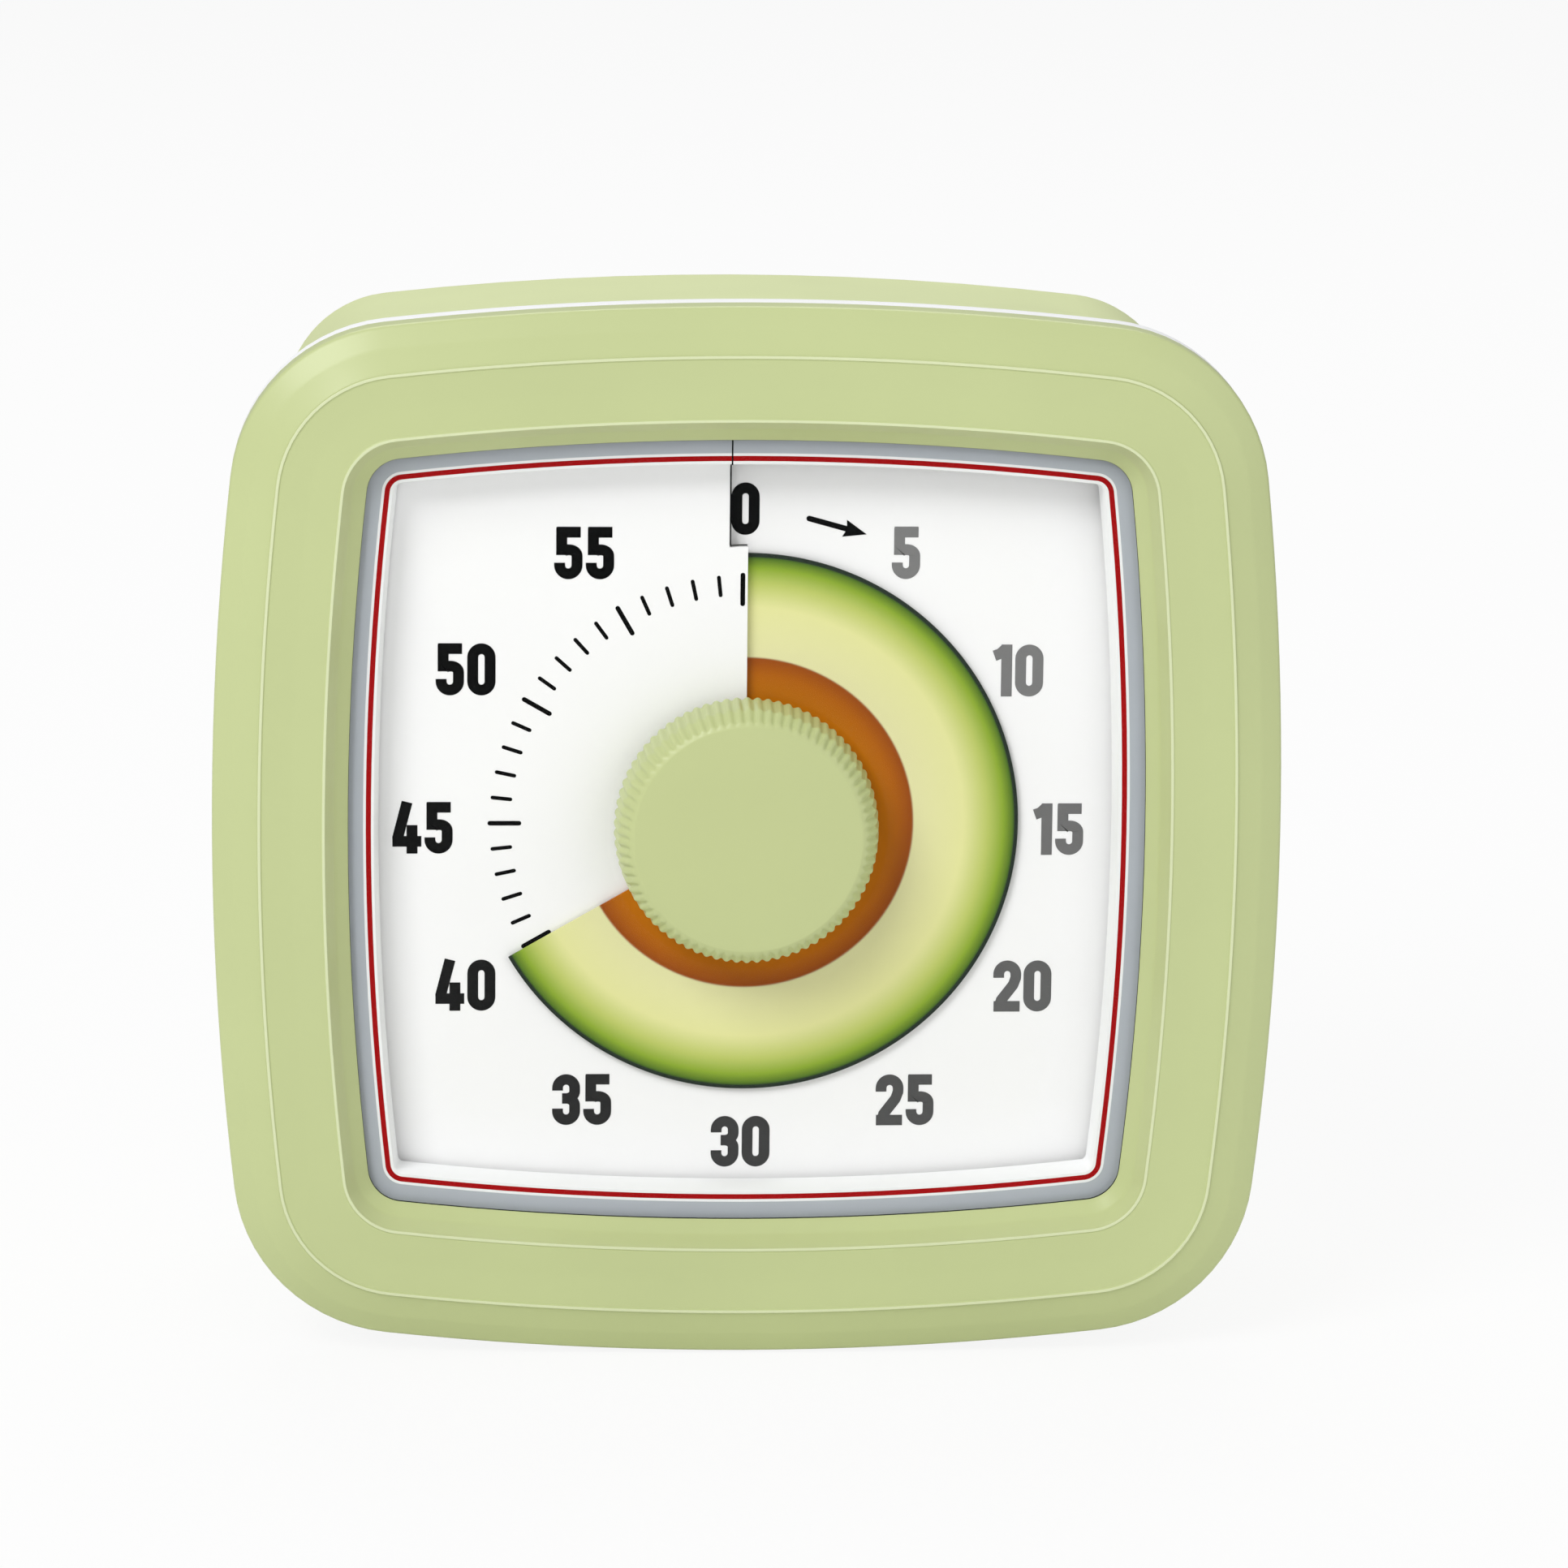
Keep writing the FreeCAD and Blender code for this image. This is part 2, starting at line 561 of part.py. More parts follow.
def dee(drawing, radius, flat):
    """A shaft outline with one flat."""
    opening = math.acos(size(flat) / size(radius))
    ring = Part.Circle(V(0, 0, 0), TOWARDS_VIEWER, size(radius))
    bend = drawing.addGeometry(Part.ArcOfCircle(ring, opening, 2 * math.pi - opening))
    height = size(radius) * math.sin(opening)
    chord = drawing.addGeometry(Part.LineSegment(V(size(flat), -height, 0), V(size(flat), height, 0)))
    fix_point(drawing, bend, 3, "0", "0")
    fix_radius(drawing, bend, radius)
    drawing.addConstraint(Sketcher.Constraint("Coincident", bend, 2, chord, 1))
    drawing.addConstraint(Sketcher.Constraint("Coincident", chord, 2, bend, 1))
    drawing.addConstraint(Sketcher.Constraint("Vertical", chord))
    index = drawing.addConstraint(Sketcher.Constraint("DistanceX", -1, 1, chord, 1, size(flat)))
    drawing.setExpression("Constraints[%d]" % index, linked(flat))
    return drawing


def make_sector_hub():
    """The film's hub, which slides on the arbor's flat as the film winds forward."""
    piece = Piece("sector_hub")
    film_back = "(-dial_depth - film_pitch + film_pitch * film_minutes / 60)"
    piece.pad(circle(piece.sketch(height=film_back + " - hub_margin"), "hub_radius"), "film_pitch + 2 * hub_margin")
    bore = dee(piece.sketch(height=film_back + " - hub_margin"), "arbor_radius + running_gap", "arbor_flat + running_gap")
    piece.pocket(bore, "film_pitch + 2 * hub_margin", front=True)
    return piece.done()


# Knob and arbor

def make_knob():
    """The fluted knob: a turned taper with a D bore, cut to a saw-toothed outline."""
    turned = Piece("knob_turned")
    profile = polygon(turned.sketch("XZ_Plane"), [
        ("0", "knob_base"),
        ("knob_radius", "knob_base"),
        ("knob_radius - bead", "knob_face - 4 * bead"),
        ("knob_face_radius + bead / 2", "knob_face - bead"),
        ("knob_face_radius - bead", "knob_face"),
        ("0", "knob_face"),
    ])
    turned.revolve(profile)
    bore = dee(turned.sketch(height="knob_base"), "arbor_radius", "arbor_flat")
    turned.pocket(bore, "bore_depth", front=True)
    count = int(size("flute_count"))
    outline = []
    for index in range(2 * count):
        angle = math.pi * index / count
        radius = size("knob_radius") - (size("flute_depth") if index % 2 else 0)
        outline.append(V(radius * math.cos(angle), radius * math.sin(angle), size("knob_base")))
    length = size("knob_face - knob_base")
    saw = Part.Face(Part.makePolygon(outline + outline[:1])).extrude(V(0, 0, length))
    return solid_part("knob", turned.body.Shape.common(saw))


def make_main_arbor():
    """The arbor that the knob turns: flat in front for knob and hub, collared for the spring."""
    piece = Piece("main_arbor")
    end = "(rear_plate_back + arbor_tail)"
    piece.pad(circle(piece.sketch(height="-" + end), "arbor_radius"), "%s - pan_depth - fit_gap" % end)
    front = piece.sketch(height="-pan_depth - fit_gap")
    piece.pad(dee(front, "arbor_radius", "arbor_flat"), "knob_base + bore_depth + pan_depth + fit_gap")
    collar = piece.sketch(height="-plate_back - spring_gap - spring_width")
    piece.pad(circle(collar, "arbor_radius + arbor_collar"), "spring_width")
    return piece.done()


# Movement

def pivot_places():
    """Centres of the four staffs, as formulas."""
    return [("%s_x" % staff, "%s_y" % staff) for staff in ("second", "third", "escape", "balance")]


def make_plate(label, back):
    """A movement plate with its corner rounds, bearings, rivet holes and, in front, screw holes."""
    piece = Piece(label)
    blank = rectangle(piece.sketch(height=back), "-plate_half", "plate_half", "-plate_half", "plate_half")
    piece.pad(blank, "plate_thickness")
    upright = piece.edges_where(lambda edge: edge.BoundBox.ZLength > TINY)
    piece.round(upright, "plate_corner")
    holes = piece.sketch(height=back)
    circle(holes, "arbor_radius + running_gap")
    for x, y in pivot_places():
        circle(holes, "pivot_radius + running_gap", x, y)
    for x, y in square("pillar_offset", "pillar_offset"):
        circle(holes, "rivet_radius", x, y)
    if label == "front_plate":
        for x, y in square("post_offset", "post_offset"):
            circle(holes, "rivet_radius", x, y)
    else:
        circle(holes, "rivet_radius", "hammer_x", "hammer_y")
        circle(holes, "rivet_radius", "bell_x", "bell_y")
    piece.pocket(holes, "plate_thickness", front=True)
    return piece.done()


def make_pillars():
    """Four pillars riveted through both plates."""
    piece = Piece("pillars")
    bodies = piece.sketch(height="-rear_plate")
    rivets = piece.sketch(height="-rear_plate_back")
    for x, y in square("pillar_offset", "pillar_offset"):
        circle(bodies, "pillar_radius", x, y)
        circle(rivets, "rivet_radius", x, y)
    piece.pad(bodies, "plate_distance")
    piece.pad(rivets, "plate_distance + 2 * plate_thickness")
    return piece.done()


def make_movement_screws():
    """Four screws that hold the front plate to the tray's posts."""
    piece = Piece("movement_screws")
    heads = piece.sketch(height="-plate_back - plate_thickness")
    shanks = piece.sketch(height="-plate_back")
    for x, y in square("post_offset", "post_offset"):
        circle(heads, "small_head", x, y)
        circle(shanks, "rivet_radius", x, y)
    piece.pad(heads, "plate_thickness")
    piece.pad(shanks, "post_length")
    return piece.done()


def strip_chain(offset):
    """Half circles from alternating centres: one wall of the wound spring strip."""
    step = size("spring_pitch") / 2
    start = size("arbor_radius + arbor_collar") + size("fit_gap") + size("spring_strip")
    arcs = []
    for index in range(int(2 * size("spring_turns"))):
        centre = V(step if index % 2 else 0, 0, 0)
        radius = start + index * step + offset
        ring = Part.Circle(centre, TOWARDS_VIEWER, radius)
        low = 0 if index % 2 == 0 else math.pi
        arcs.append(Part.ArcOfCircle(ring, low, low + math.pi).toShape())
    return arcs


def make_mainspring():
    """The mainspring, an open spiral strip round the arbor's collar."""
    half = size("spring_strip") / 2
    walls = [strip_chain(-half), strip_chain(half)]
    starts = [wall[0].valueAt(wall[0].FirstParameter) for wall in walls]
    ends = [wall[-1].valueAt(wall[-1].LastParameter) for wall in walls]
    caps = [Part.LineSegment(*starts).toShape(), Part.LineSegment(*ends).toShape()]
    edges = walls[0] + walls[1] + caps
    strip = Part.Face(Part.Wire(Part.__sortEdges__(edges))).extrude(V(0, 0, size("spring_width")))
    strip.translate(V(0, 0, -size("plate_back + spring_gap + spring_width")))
    return solid_part("mainspring", strip)


PRESSURE_ANGLE = math.radians(20)


def involute(angle):
    """The involute function."""
    return math.tan(angle) - angle


def tooth_half_angle(radius, teeth, module):
    """Half the angle that a tooth takes up at a radius, thinned by the play between flanks."""
    pitch_radius = module * teeth / 2
    base = pitch_radius * math.cos(PRESSURE_ANGLE)
    flank = math.acos(min(1.0, base / radius))
    half = math.pi / (2 * teeth) - size("tooth_play") / pitch_radius + involute(PRESSURE_ANGLE) - involute(flank)
    return half * (1 if radius >= base else (radius / base) ** 4)


def toothed_face(teeth, module, facing):
    """The outline of a gear with straight-chorded involute flanks, one tooth facing a bearing."""
    pitch_radius = module * teeth / 2
    radii = [pitch_radius - size("tooth_root") * module, pitch_radius, pitch_radius + size("tooth_tip") * module]
    points = []
    for index in range(teeth):
        middle = math.radians(facing) + 2 * math.pi * index / teeth
        halves = [tooth_half_angle(radius, teeth, module) for radius in radii]
        sides = [(r, middle - h) for r, h in zip(radii, halves)]
        sides += [(r, middle + h) for r, h in zip(radii[::-1], halves[::-1])]
        points += [V(r * math.cos(a), r * math.sin(a), 0) for r, a in sides]
    return Part.Face(Part.makePolygon(points + points[:1]))


def crossed(wheel, rim, hub, back, front):
    """Cuts the four windows between a wheel's spokes."""
    window = drum(rim, back, front).cut(drum(hub, back, front))
    half = size("spoke_width") / 2
    window = window.cut(block(-rim, rim, -half, half, back, front)).cut(block(-half, half, -rim, rim, back, front))
    return wheel.cut(window)


def layer(index):
    """Front of one of the train's wheel layers."""
    return -size("plate_back + first_layer") - index * size("layer_pitch")


def make_wheel(label, module_name, facing, level, bore, x="0", y="0"):
    """A train wheel with crossings."""
    teeth = int(size("wheel_teeth"))
    module = size(module_name)
    front = layer(level)
    back = front - size("wheel_thickness")
    wheel = toothed_face(teeth, module, facing).extrude(V(0, 0, size("wheel_thickness")))
    wheel.translate(V(0, 0, back))
    wheel = crossed(wheel, module * teeth / 2 - size("rim_width"), size("%s + rim_width" % bore), back, front)
    wheel = wheel.cut(drum(size(bore), back, front))
    wheel.translate(V(size(x), size(y), 0))
    return solid_part(label, wheel)


def make_pinion(label, module_name, facing, level, x, y):
    """A pinion cut in one piece with its staff and pivots."""
    teeth = int(size("pinion_teeth"))
    front = layer(level) + size("running_gap") * 4
    back = layer(level + 1)
    pinion = toothed_face(teeth, size(module_name), facing).extrude(V(0, 0, front - back))
    pinion.translate(V(0, 0, back))
    pinion = pinion.fuse([staff_bar(), pivot_bar()])
    pinion.translate(V(size(x), size(y), 0))
    return solid_part(label, pinion)


def staff_bar():
    """A staff between the plates, with end shake."""
    shake = size("running_gap")
    return drum(size("staff_radius"), -size("rear_plate") + shake, -size("plate_back") - shake)


def pivot_bar():
    """The pivots that run in both plates."""
    return drum(size("pivot_radius"), -size("rear_plate_back"), -size("plate_front"))


def make_escape_wheel():
    """The escape wheel with its raked pointed teeth."""
    count = int(size("escape_teeth"))
    tip = size("escape_radius")
    root = tip - size("escape_tooth")
    shares = (0, size("escape_tip_share"), size("escape_face_share"), size("escape_root_share"))
    points = []
    for index in range(count):
        for share, radius in zip(shares, (tip, tip, root, root)):
            angle = 2 * math.pi * (index + share) / count
            points.append(V(radius * math.cos(angle), radius * math.sin(angle), 0))
    back = layer(3) - size("wheel_thickness")
    wheel = Part.Face(Part.makePolygon(points + points[:1])).extrude(V(0, 0, size("wheel_thickness")))
    wheel.translate(V(0, 0, back))
    wheel = crossed(wheel, root - size("rim_width") / 2, size("staff_radius + rim_width"), back, layer(3))
    wheel = wheel.cut(drum(size("staff_radius"), back, layer(3)))
    wheel.translate(V(size("escape_x"), size("escape_y"), 0))
    return solid_part("escape_wheel", wheel)


def make_balance_staff():
    """The balance staff with the pallet arm that reaches for the escape wheel."""
    back = layer(3) - size("wheel_thickness")
    length = size("balance_reach - escape_radius - pallet_gap")
    half = size("spoke_width") / 2
    arm = block(0, length, -half, half, back, layer(3)).fuse(drum(2 * half, back, layer(3)))
    arm.rotate(V(0, 0, 0), TOWARDS_VIEWER, 180 + size("balance_bearing"))
    staff = arm.fuse([staff_bar(), pivot_bar()])
    staff.translate(V(size("balance_x"), size("balance_y"), 0))
    return solid_part("balance_staff", staff)


def make_balance_wheel():
    """The balance wheel: a rim on two spokes."""
    radius = size("balance_radius")
    back = layer(4) - size("wheel_thickness")
    front = layer(4)
    wheel = drum(radius, back, front).cut(drum(radius - size("balance_rim"), back, front))
    half = size("spoke_width") / 2
    reach = radius - size("balance_rim") / 2
    wheel = wheel.fuse([block(-reach, reach, -half, half, back, front), drum(2 * half, back, front)])
    wheel = wheel.cut(drum(size("staff_radius"), back, front))
    wheel.translate(V(size("balance_x"), size("balance_y"), 0))
    return solid_part("balance_wheel", wheel)


# Strike work

def make_strike_cam():
    """The cam on the arbor's tail, notched to let the hammer fall."""
    piece = Piece("strike_cam")
    back = "-rear_plate_back - cam_gap - cam_thickness"
    piece.pad(circle(piece.sketch(height=back), "cam_radius"), "cam_thickness")
    piece.pocket(circle(piece.sketch(height=back), "arbor_radius"), "cam_thickness", front=True)
    notch = polygon(piece.sketch(height=back), [
        ("cam_radius - cam_notch", "-cam_radius"),
        ("2 * cam_radius", "-cam_radius"),
        ("2 * cam_radius", "0"),
        ("cam_radius - cam_notch", "-cam_radius / 3"),
    ])
    piece.pocket(notch, "cam_thickness", front=True)
    return piece.done()


def make_bell():
    """The bell: a turned cup with a flat crown that seats on its post."""
    radius, height, wall = size("bell_radius"), size("bell_height"), size("bell_wall")
    curve = (radius ** 2 + height ** 2) / (2 * height)
    opening = math.asin(radius / curve)
    crown = -size("rear_plate_back + bell_gap") - height
    steps = int(size("bell_steps"))
    angles = [opening * index / steps for index in range(1, steps + 1)]
    hole, seat = size("rivet_radius"), size("small_head")
    points = [(hole, crown), (seat, crown)]
    points += [(curve * math.sin(a), crown + curve * (1 - math.cos(a))) for a in angles]
    inside = curve - wall
    points += [(inside * math.sin(a), crown + curve - inside * math.cos(a)) for a in angles[::-1]]
    points += [(seat, crown + wall), (hole, crown + wall)]
    sides = int(size("bell_sides"))

    def corner(point, side):
        angle = 2 * math.pi * side / sides
        return V(point[0] * math.cos(angle), point[0] * math.sin(angle), point[1])

    faces = []
    for near, far in zip(points, points[1:] + points[:1]):
        for side in range(sides):
            faces.append(panel(corner(near, side), corner(far, side), corner(far, side + 1), corner(near, side + 1)))
    cup = closed(faces)
    cup.translate(V(size("bell_x"), size("bell_y"), 0))
    return solid_part("bell", cup)


def make_bell_post():
    """The post between rear plate and bell, riveted in the plate."""
    piece = Piece("bell_post")
    crown = "(rear_plate_back + bell_gap + bell_height - bell_wall)"
    body = circle(piece.sketch(height="-" + crown), "bell_post", "bell_x", "bell_y")
    piece.pad(body, "%s - rear_plate_back" % crown)
    rivet = circle(piece.sketch(height="-rear_plate_back"), "rivet_radius", "bell_x", "bell_y")
    piece.pad(rivet, "plate_thickness")
    return piece.done()


def make_bell_screw():
    """The screw through the bell's crown."""
    piece = Piece("bell_screw")
    crown = "(rear_plate_back + bell_gap + bell_height)"
    head = piece.sketch(height="-%s - plate_thickness" % crown)
    piece.pad(circle(head, "small_head", "bell_x", "bell_y"), "plate_thickness")
    piece.pad(circle(piece.sketch(height="-" + crown), "rivet_radius", "bell_x", "bell_y"), "bell_wall")
    return piece.done()


def make_hammer_stud():
    """The stud that the hammer swings on."""
    piece = Piece("hammer_stud")
    body = circle(piece.sketch(height="-hammer_back - fit_gap"), "hammer_stud", "hammer_x", "hammer_y")
    piece.pad(body, "hammer_back + fit_gap - rear_plate_back")
    rivet = circle(piece.sketch(height="-rear_plate_back"), "rivet_radius", "hammer_x", "hammer_y")
    piece.pad(rivet, "plate_thickness")
    return piece.done()


def make_hammer():
    """The hammer: a hub on the stud, a follower beside the cam and a head beside the bell's rim."""
    stud = V(size("hammer_x"), size("hammer_y"), 0)
    bell = V(size("bell_x"), size("bell_y"), 0)
    bearing = math.radians(size("strike_bearing"))
    reach = size("bell_radius + strike_gap + hammer_head")
    head = bell + V(reach * math.cos(bearing), reach * math.sin(bearing), 0)
    back = -size("hammer_back")
    front = -size("rear_plate_back") - size("fit_gap")
    arm_back = -size("rear_plate_back + bell_gap") - size("hammer_arm")
    cam_back = -size("rear_plate_back + cam_gap + cam_thickness")
    width = size("hammer_arm")

    def arm(target, shorten, low, high):
        along = target - stud
        length = along.Length - shorten
        bar = block(0, length, -width / 2, width / 2, low, high)
        bar.rotate(V(0, 0, 0), TOWARDS_VIEWER, math.degrees(math.atan2(along.y, along.x)))
        bar.translate(stud)
        return bar

    lever = drum(size("hammer_hub"), back, front, stud.x, stud.y)
    lever = lever.fuse([
        arm(head, 0, arm_back, arm_back + width),
        arm(V(0, 0, 0), size("cam_radius + pallet_gap"), cam_back, cam_back + size("cam_thickness")),
        drum(size("hammer_head"), arm_back - width / 2, arm_back + 1.5 * width, head.x, head.y),
    ])
    lever = lever.cut(drum(size("hammer_stud + running_gap"), back, front, stud.x, stud.y))
    return solid_part("hammer", lever)


def build():
    """Builds every sub-part in the order in which the timer is put together."""
    make_bezel()
    make_dial_tray()
    make_rear_cover()
    make_foot_pads()
    make_case_screws()
    make_window_lens()
    make_dial_surround()
    make_dial_plate()
    make_sector_disc()
    make_sector_hub()
    make_knob()
    make_main_arbor()
    make_plate("front_plate", "-plate_back")
    make_plate("rear_plate", "-rear_plate_back")
    make_pillars()
    make_movement_screws()
    make_mainspring()
    second = size("second_bearing")
    third = size("third_bearing")
    escape = size("escape_bearing")
    facing_away = 180 + 180 / size("pinion_teeth")
    make_wheel("main_wheel", "main_module", second, 0, "arbor_radius")
    make_pinion("second_pinion", "main_module", second + facing_away, 0, "second_x", "second_y")
    make_wheel("second_wheel", "train_module", third, 1, "staff_radius", "second_x", "second_y")
    make_pinion("third_pinion", "train_module", third + facing_away, 1, "third_x", "third_y")
    make_wheel("third_wheel", "train_module", escape, 2, "staff_radius", "third_x", "third_y")
    make_pinion("escape_pinion", "train_module", escape + facing_away, 2, "escape_x", "escape_y")
    make_escape_wheel()
    make_balance_staff()
    make_balance_wheel()
    make_strike_cam()
    make_bell()
    make_bell_post()
    make_bell_screw()
    make_hammer_stud()
    make_hammer()
    document.recompute()


def write_parts():
    """Checks every object and writes one STEP file for each sub-part."""
    for item in document.Objects:
        if "Invalid" in item.State or "Error" in item.State:
            raise RuntimeError("%s did not compute: %s" % (item.Name, item.State))
    os.makedirs("parts", exist_ok=True)
    for item in sub_parts:
        if item.Shape.isNull() or not item.Shape.isValid() or not item.Shape.Solids:
            raise RuntimeError("%s has no valid solid" % item.Label)
        item.Shape.exportStep("parts/%s.step" % item.Label)
        box = item.Shape.BoundBox
        print("%-16s %2d solid(s) %9.1f mm3  X %6.2f..%6.2f  Y %6.2f..%6.2f  Z %6.2f..%6.2f" % (
            item.Label, len(item.Shape.Solids), item.Shape.Volume,
            box.XMin, box.XMax, box.YMin, box.YMax, box.ZMin, box.ZMax))


build()
write_parts()
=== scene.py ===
"""Dresses a wind-up visual timer: a green barrel-sided case, a slit dial and a coloured film."""

import json
import logging
import math
from dataclasses import dataclass
from enum import Enum

import bmesh
import bpy
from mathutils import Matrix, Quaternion, Vector

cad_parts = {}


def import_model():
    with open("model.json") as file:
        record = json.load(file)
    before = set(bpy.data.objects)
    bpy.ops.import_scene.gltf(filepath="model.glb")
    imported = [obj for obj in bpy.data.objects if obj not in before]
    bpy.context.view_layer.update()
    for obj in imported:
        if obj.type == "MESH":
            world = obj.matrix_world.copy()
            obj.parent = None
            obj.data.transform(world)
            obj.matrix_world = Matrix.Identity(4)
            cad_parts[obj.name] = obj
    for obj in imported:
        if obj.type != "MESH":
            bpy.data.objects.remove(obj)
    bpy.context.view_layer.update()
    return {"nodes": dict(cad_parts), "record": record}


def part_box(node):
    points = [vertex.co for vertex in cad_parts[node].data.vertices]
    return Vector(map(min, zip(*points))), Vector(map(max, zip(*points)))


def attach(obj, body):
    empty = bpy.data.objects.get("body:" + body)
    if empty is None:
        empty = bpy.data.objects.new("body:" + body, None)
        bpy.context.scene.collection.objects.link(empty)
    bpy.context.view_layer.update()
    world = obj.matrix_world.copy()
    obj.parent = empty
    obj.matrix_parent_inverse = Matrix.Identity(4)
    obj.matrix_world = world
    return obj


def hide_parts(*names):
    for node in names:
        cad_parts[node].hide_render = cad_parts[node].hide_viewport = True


LOG = logging.getLogger("visual_timer")
MM = 0.001
IMAGE_SIDE = 1932
WHITEST = 255.0


def linear(value: float) -> float:
    """Gives the linear light of one display channel from 0 to 255."""
    share = value / 255
    return share / 12.92 if share <= 0.04045 else ((share + 0.055) / 1.055) ** 2.4


def shade(red: float, green: float, blue: float) -> tuple[float, float, float, float]:
    """Gives the linear colour of a display colour written from 0 to 255."""
    return linear(red), linear(green), linear(blue), 1.0


@dataclass(frozen=True)
class Place:
    """The timer's own frame inside the row frame: X right, Y up from the winding axis, Z forward.

    Attributes:
        back_y: Row Y of the bezel's back face, where the timer's Z is 0.
        axis_z: Row Z of the winding axis.
    """

    back_y: float
    axis_z: float

    def point(self, x: float, y: float, z: float) -> Vector:
        """Turns millimetres in the timer's frame into the row frame.

        Args:
            x: Millimetres to the right.
            y: Millimetres up from the winding axis.
            z: Millimetres towards the viewer from the bezel's back face.

        Returns:
            The point in metres.
        """
        return Vector((x * MM, self.back_y - z * MM, self.axis_z + y * MM))


@dataclass(frozen=True)
class Outline:
    """A square with bulging sides and round corners.

    Attributes:
        half: Half width at the middle of a side.
        side: Radius of the bulging sides.
        corner: Radius of the corners.
    """

    half: float
    side: float
    corner: float

    def samples(self, side_steps: int = 20, corner_steps: int = 14) -> list[tuple[Vector, Vector]]:
        """Walks once round the outline.

        Args:
            side_steps: Samples on each side.
            corner_steps: Samples in each corner.

        Returns:
            Pairs of a point and its outward normal, both flat.
        """
        reach = self.side - self.half
        gap = self.side - self.corner
        run = (-reach + math.sqrt(2 * gap ** 2 - reach ** 2)) / 2
        swing = math.atan2(run, run + reach)
        walk = []
        for quarter in range(4):
            facing = quarter * math.pi / 2
            centre = Vector((-reach * math.cos(facing), -reach * math.sin(facing)))
            for step in range(side_steps):
                angle = facing - swing + 2 * swing * step / side_steps
                normal = Vector((math.cos(angle), math.sin(angle)))
                walk.append((centre + normal * self.side, normal))
            diagonal = facing + math.pi / 4
            centre = Vector((math.cos(diagonal), math.sin(diagonal))) * run * math.sqrt(2)
            for step in range(corner_steps):
                angle = facing + swing + (math.pi / 2 - 2 * swing) * step / corner_steps
                normal = Vector((math.cos(angle), math.sin(angle)))
                walk.append((centre + normal * self.corner, normal))
        return walk


def rounded(points: list[tuple[float, float, float]], steps: int = 5) -> list[tuple[float, float]]:
    """Rounds the corners of an open profile.

    Args:
        points: Corners as across, height and corner radius.
        steps: Segments in each rounded corner.

    Returns:
        The profile's points.
    """
    line = [points[0][:2]]
    for before, corner, after in zip(points, points[1:], points[2:]):
        here = Vector(corner[:2])
        back = Vector(before[:2]) - here
        ahead = Vector(after[:2]) - here
        if corner[2] <= 0:
            line.append(corner[:2])
            continue
        turn = back.angle(ahead)
        length = min(corner[2] / math.tan(turn / 2), 0.48 * back.length, 0.48 * ahead.length)
        start = here + back.normalized() * length
        end = here + ahead.normalized() * length
        for step in range(steps + 1):
            share = step / steps
            point = start * (1 - share) ** 2 + here * 2 * share * (1 - share) + end * share ** 2
            line.append((point.x, point.y))
    line.append(points[-1][:2])
    return line


class MeshMaker:
    """Gathers faces in the row frame and makes one object of them."""

    def __init__(self, name: str) -> None:
        """Starts an empty mesh for a piece of this name."""
        self.name = name
        self.mesh = bmesh.new()

    def grid(self, rows: list[list[Vector]], slots: list[int] | None = None, wrap: bool = True) -> None:
        """Adds a sheet of quads.

        Args:
            rows: Rows of points of one length.
            slots: Material slot of each strip between neighbours within a row.
            wrap: Whether the last row joins the first.
        """
        corners = [[self.mesh.verts.new(point) for point in row] for row in rows]
        count = len(rows)
        for index in range(count if wrap else count - 1):
            near, far = corners[index], corners[(index + 1) % count]
            for step in range(len(near) - 1):
                face = self.mesh.faces.new((near[step], near[step + 1], far[step + 1], far[step]))
                face.smooth = True
                if slots:
                    face.material_index = slots[step]

    def fan(self, ring: list[Vector], middle: Vector, slot: int = 0) -> None:
        """Closes a ring of points with triangles round a middle point.

        Args:
            ring: Points of the ring in order.
            middle: Point that the triangles share.
            slot: Material slot.
        """
        centre = self.mesh.verts.new(middle)
        rim = [self.mesh.verts.new(point) for point in ring]
        for index, corner in enumerate(rim):
            face = self.mesh.faces.new((corner, rim[(index + 1) % len(rim)], centre))
            face.smooth = True
            face.material_index = slot

    def plate(self, outline: list[Vector], slot: int = 0) -> None:
        """Adds one flat face from its outline."""
        face = self.mesh.faces.new([self.mesh.verts.new(point) for point in outline])
        face.material_index = slot

    def build(self, materials: list[bpy.types.Material], sharp: float = 40.0) -> bpy.types.Object:
        """Makes the object.

        Args:
            materials: One for each material slot used.
            sharp: Angle in degrees above which an edge stays sharp.

        Returns:
            The linked object.
        """
        bmesh.ops.remove_doubles(self.mesh, verts=self.mesh.verts, dist=0.002 * MM)
        bmesh.ops.recalc_face_normals(self.mesh, faces=self.mesh.faces)
        for edge in self.mesh.edges:
            if len(edge.link_faces) == 2 and edge.calc_face_angle(0.0) > math.radians(sharp):
                edge.smooth = False
        data = bpy.data.meshes.new(self.name)
        self.mesh.to_mesh(data)
        self.mesh.free()
        piece = bpy.data.objects.new(self.name, data)
        bpy.context.scene.collection.objects.link(piece)
        for material in materials:
            data.materials.append(material)
        return piece


def settle(piece: bpy.types.Object, body: str, slot: str, *nodes: str) -> None:
    """Puts a finished piece on its body.

    Args:
        piece: The dressed piece.
        body: Body that it moves with.
        slot: The record's material slot for the piece; not used.
        nodes: CAD nodes that it stands for.
    """
    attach(piece, body)
    if nodes:
        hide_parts(*nodes)
    LOG.info("%s on %s, %d faces", piece.name, body, len(piece.data.polygons))


class Effect(Enum):
    """Shader groups that several finishes share."""

    MOULDED = "moulded_surface"
    RADIAL = "distance_from_axis"
    TURNED = "turned_metal"


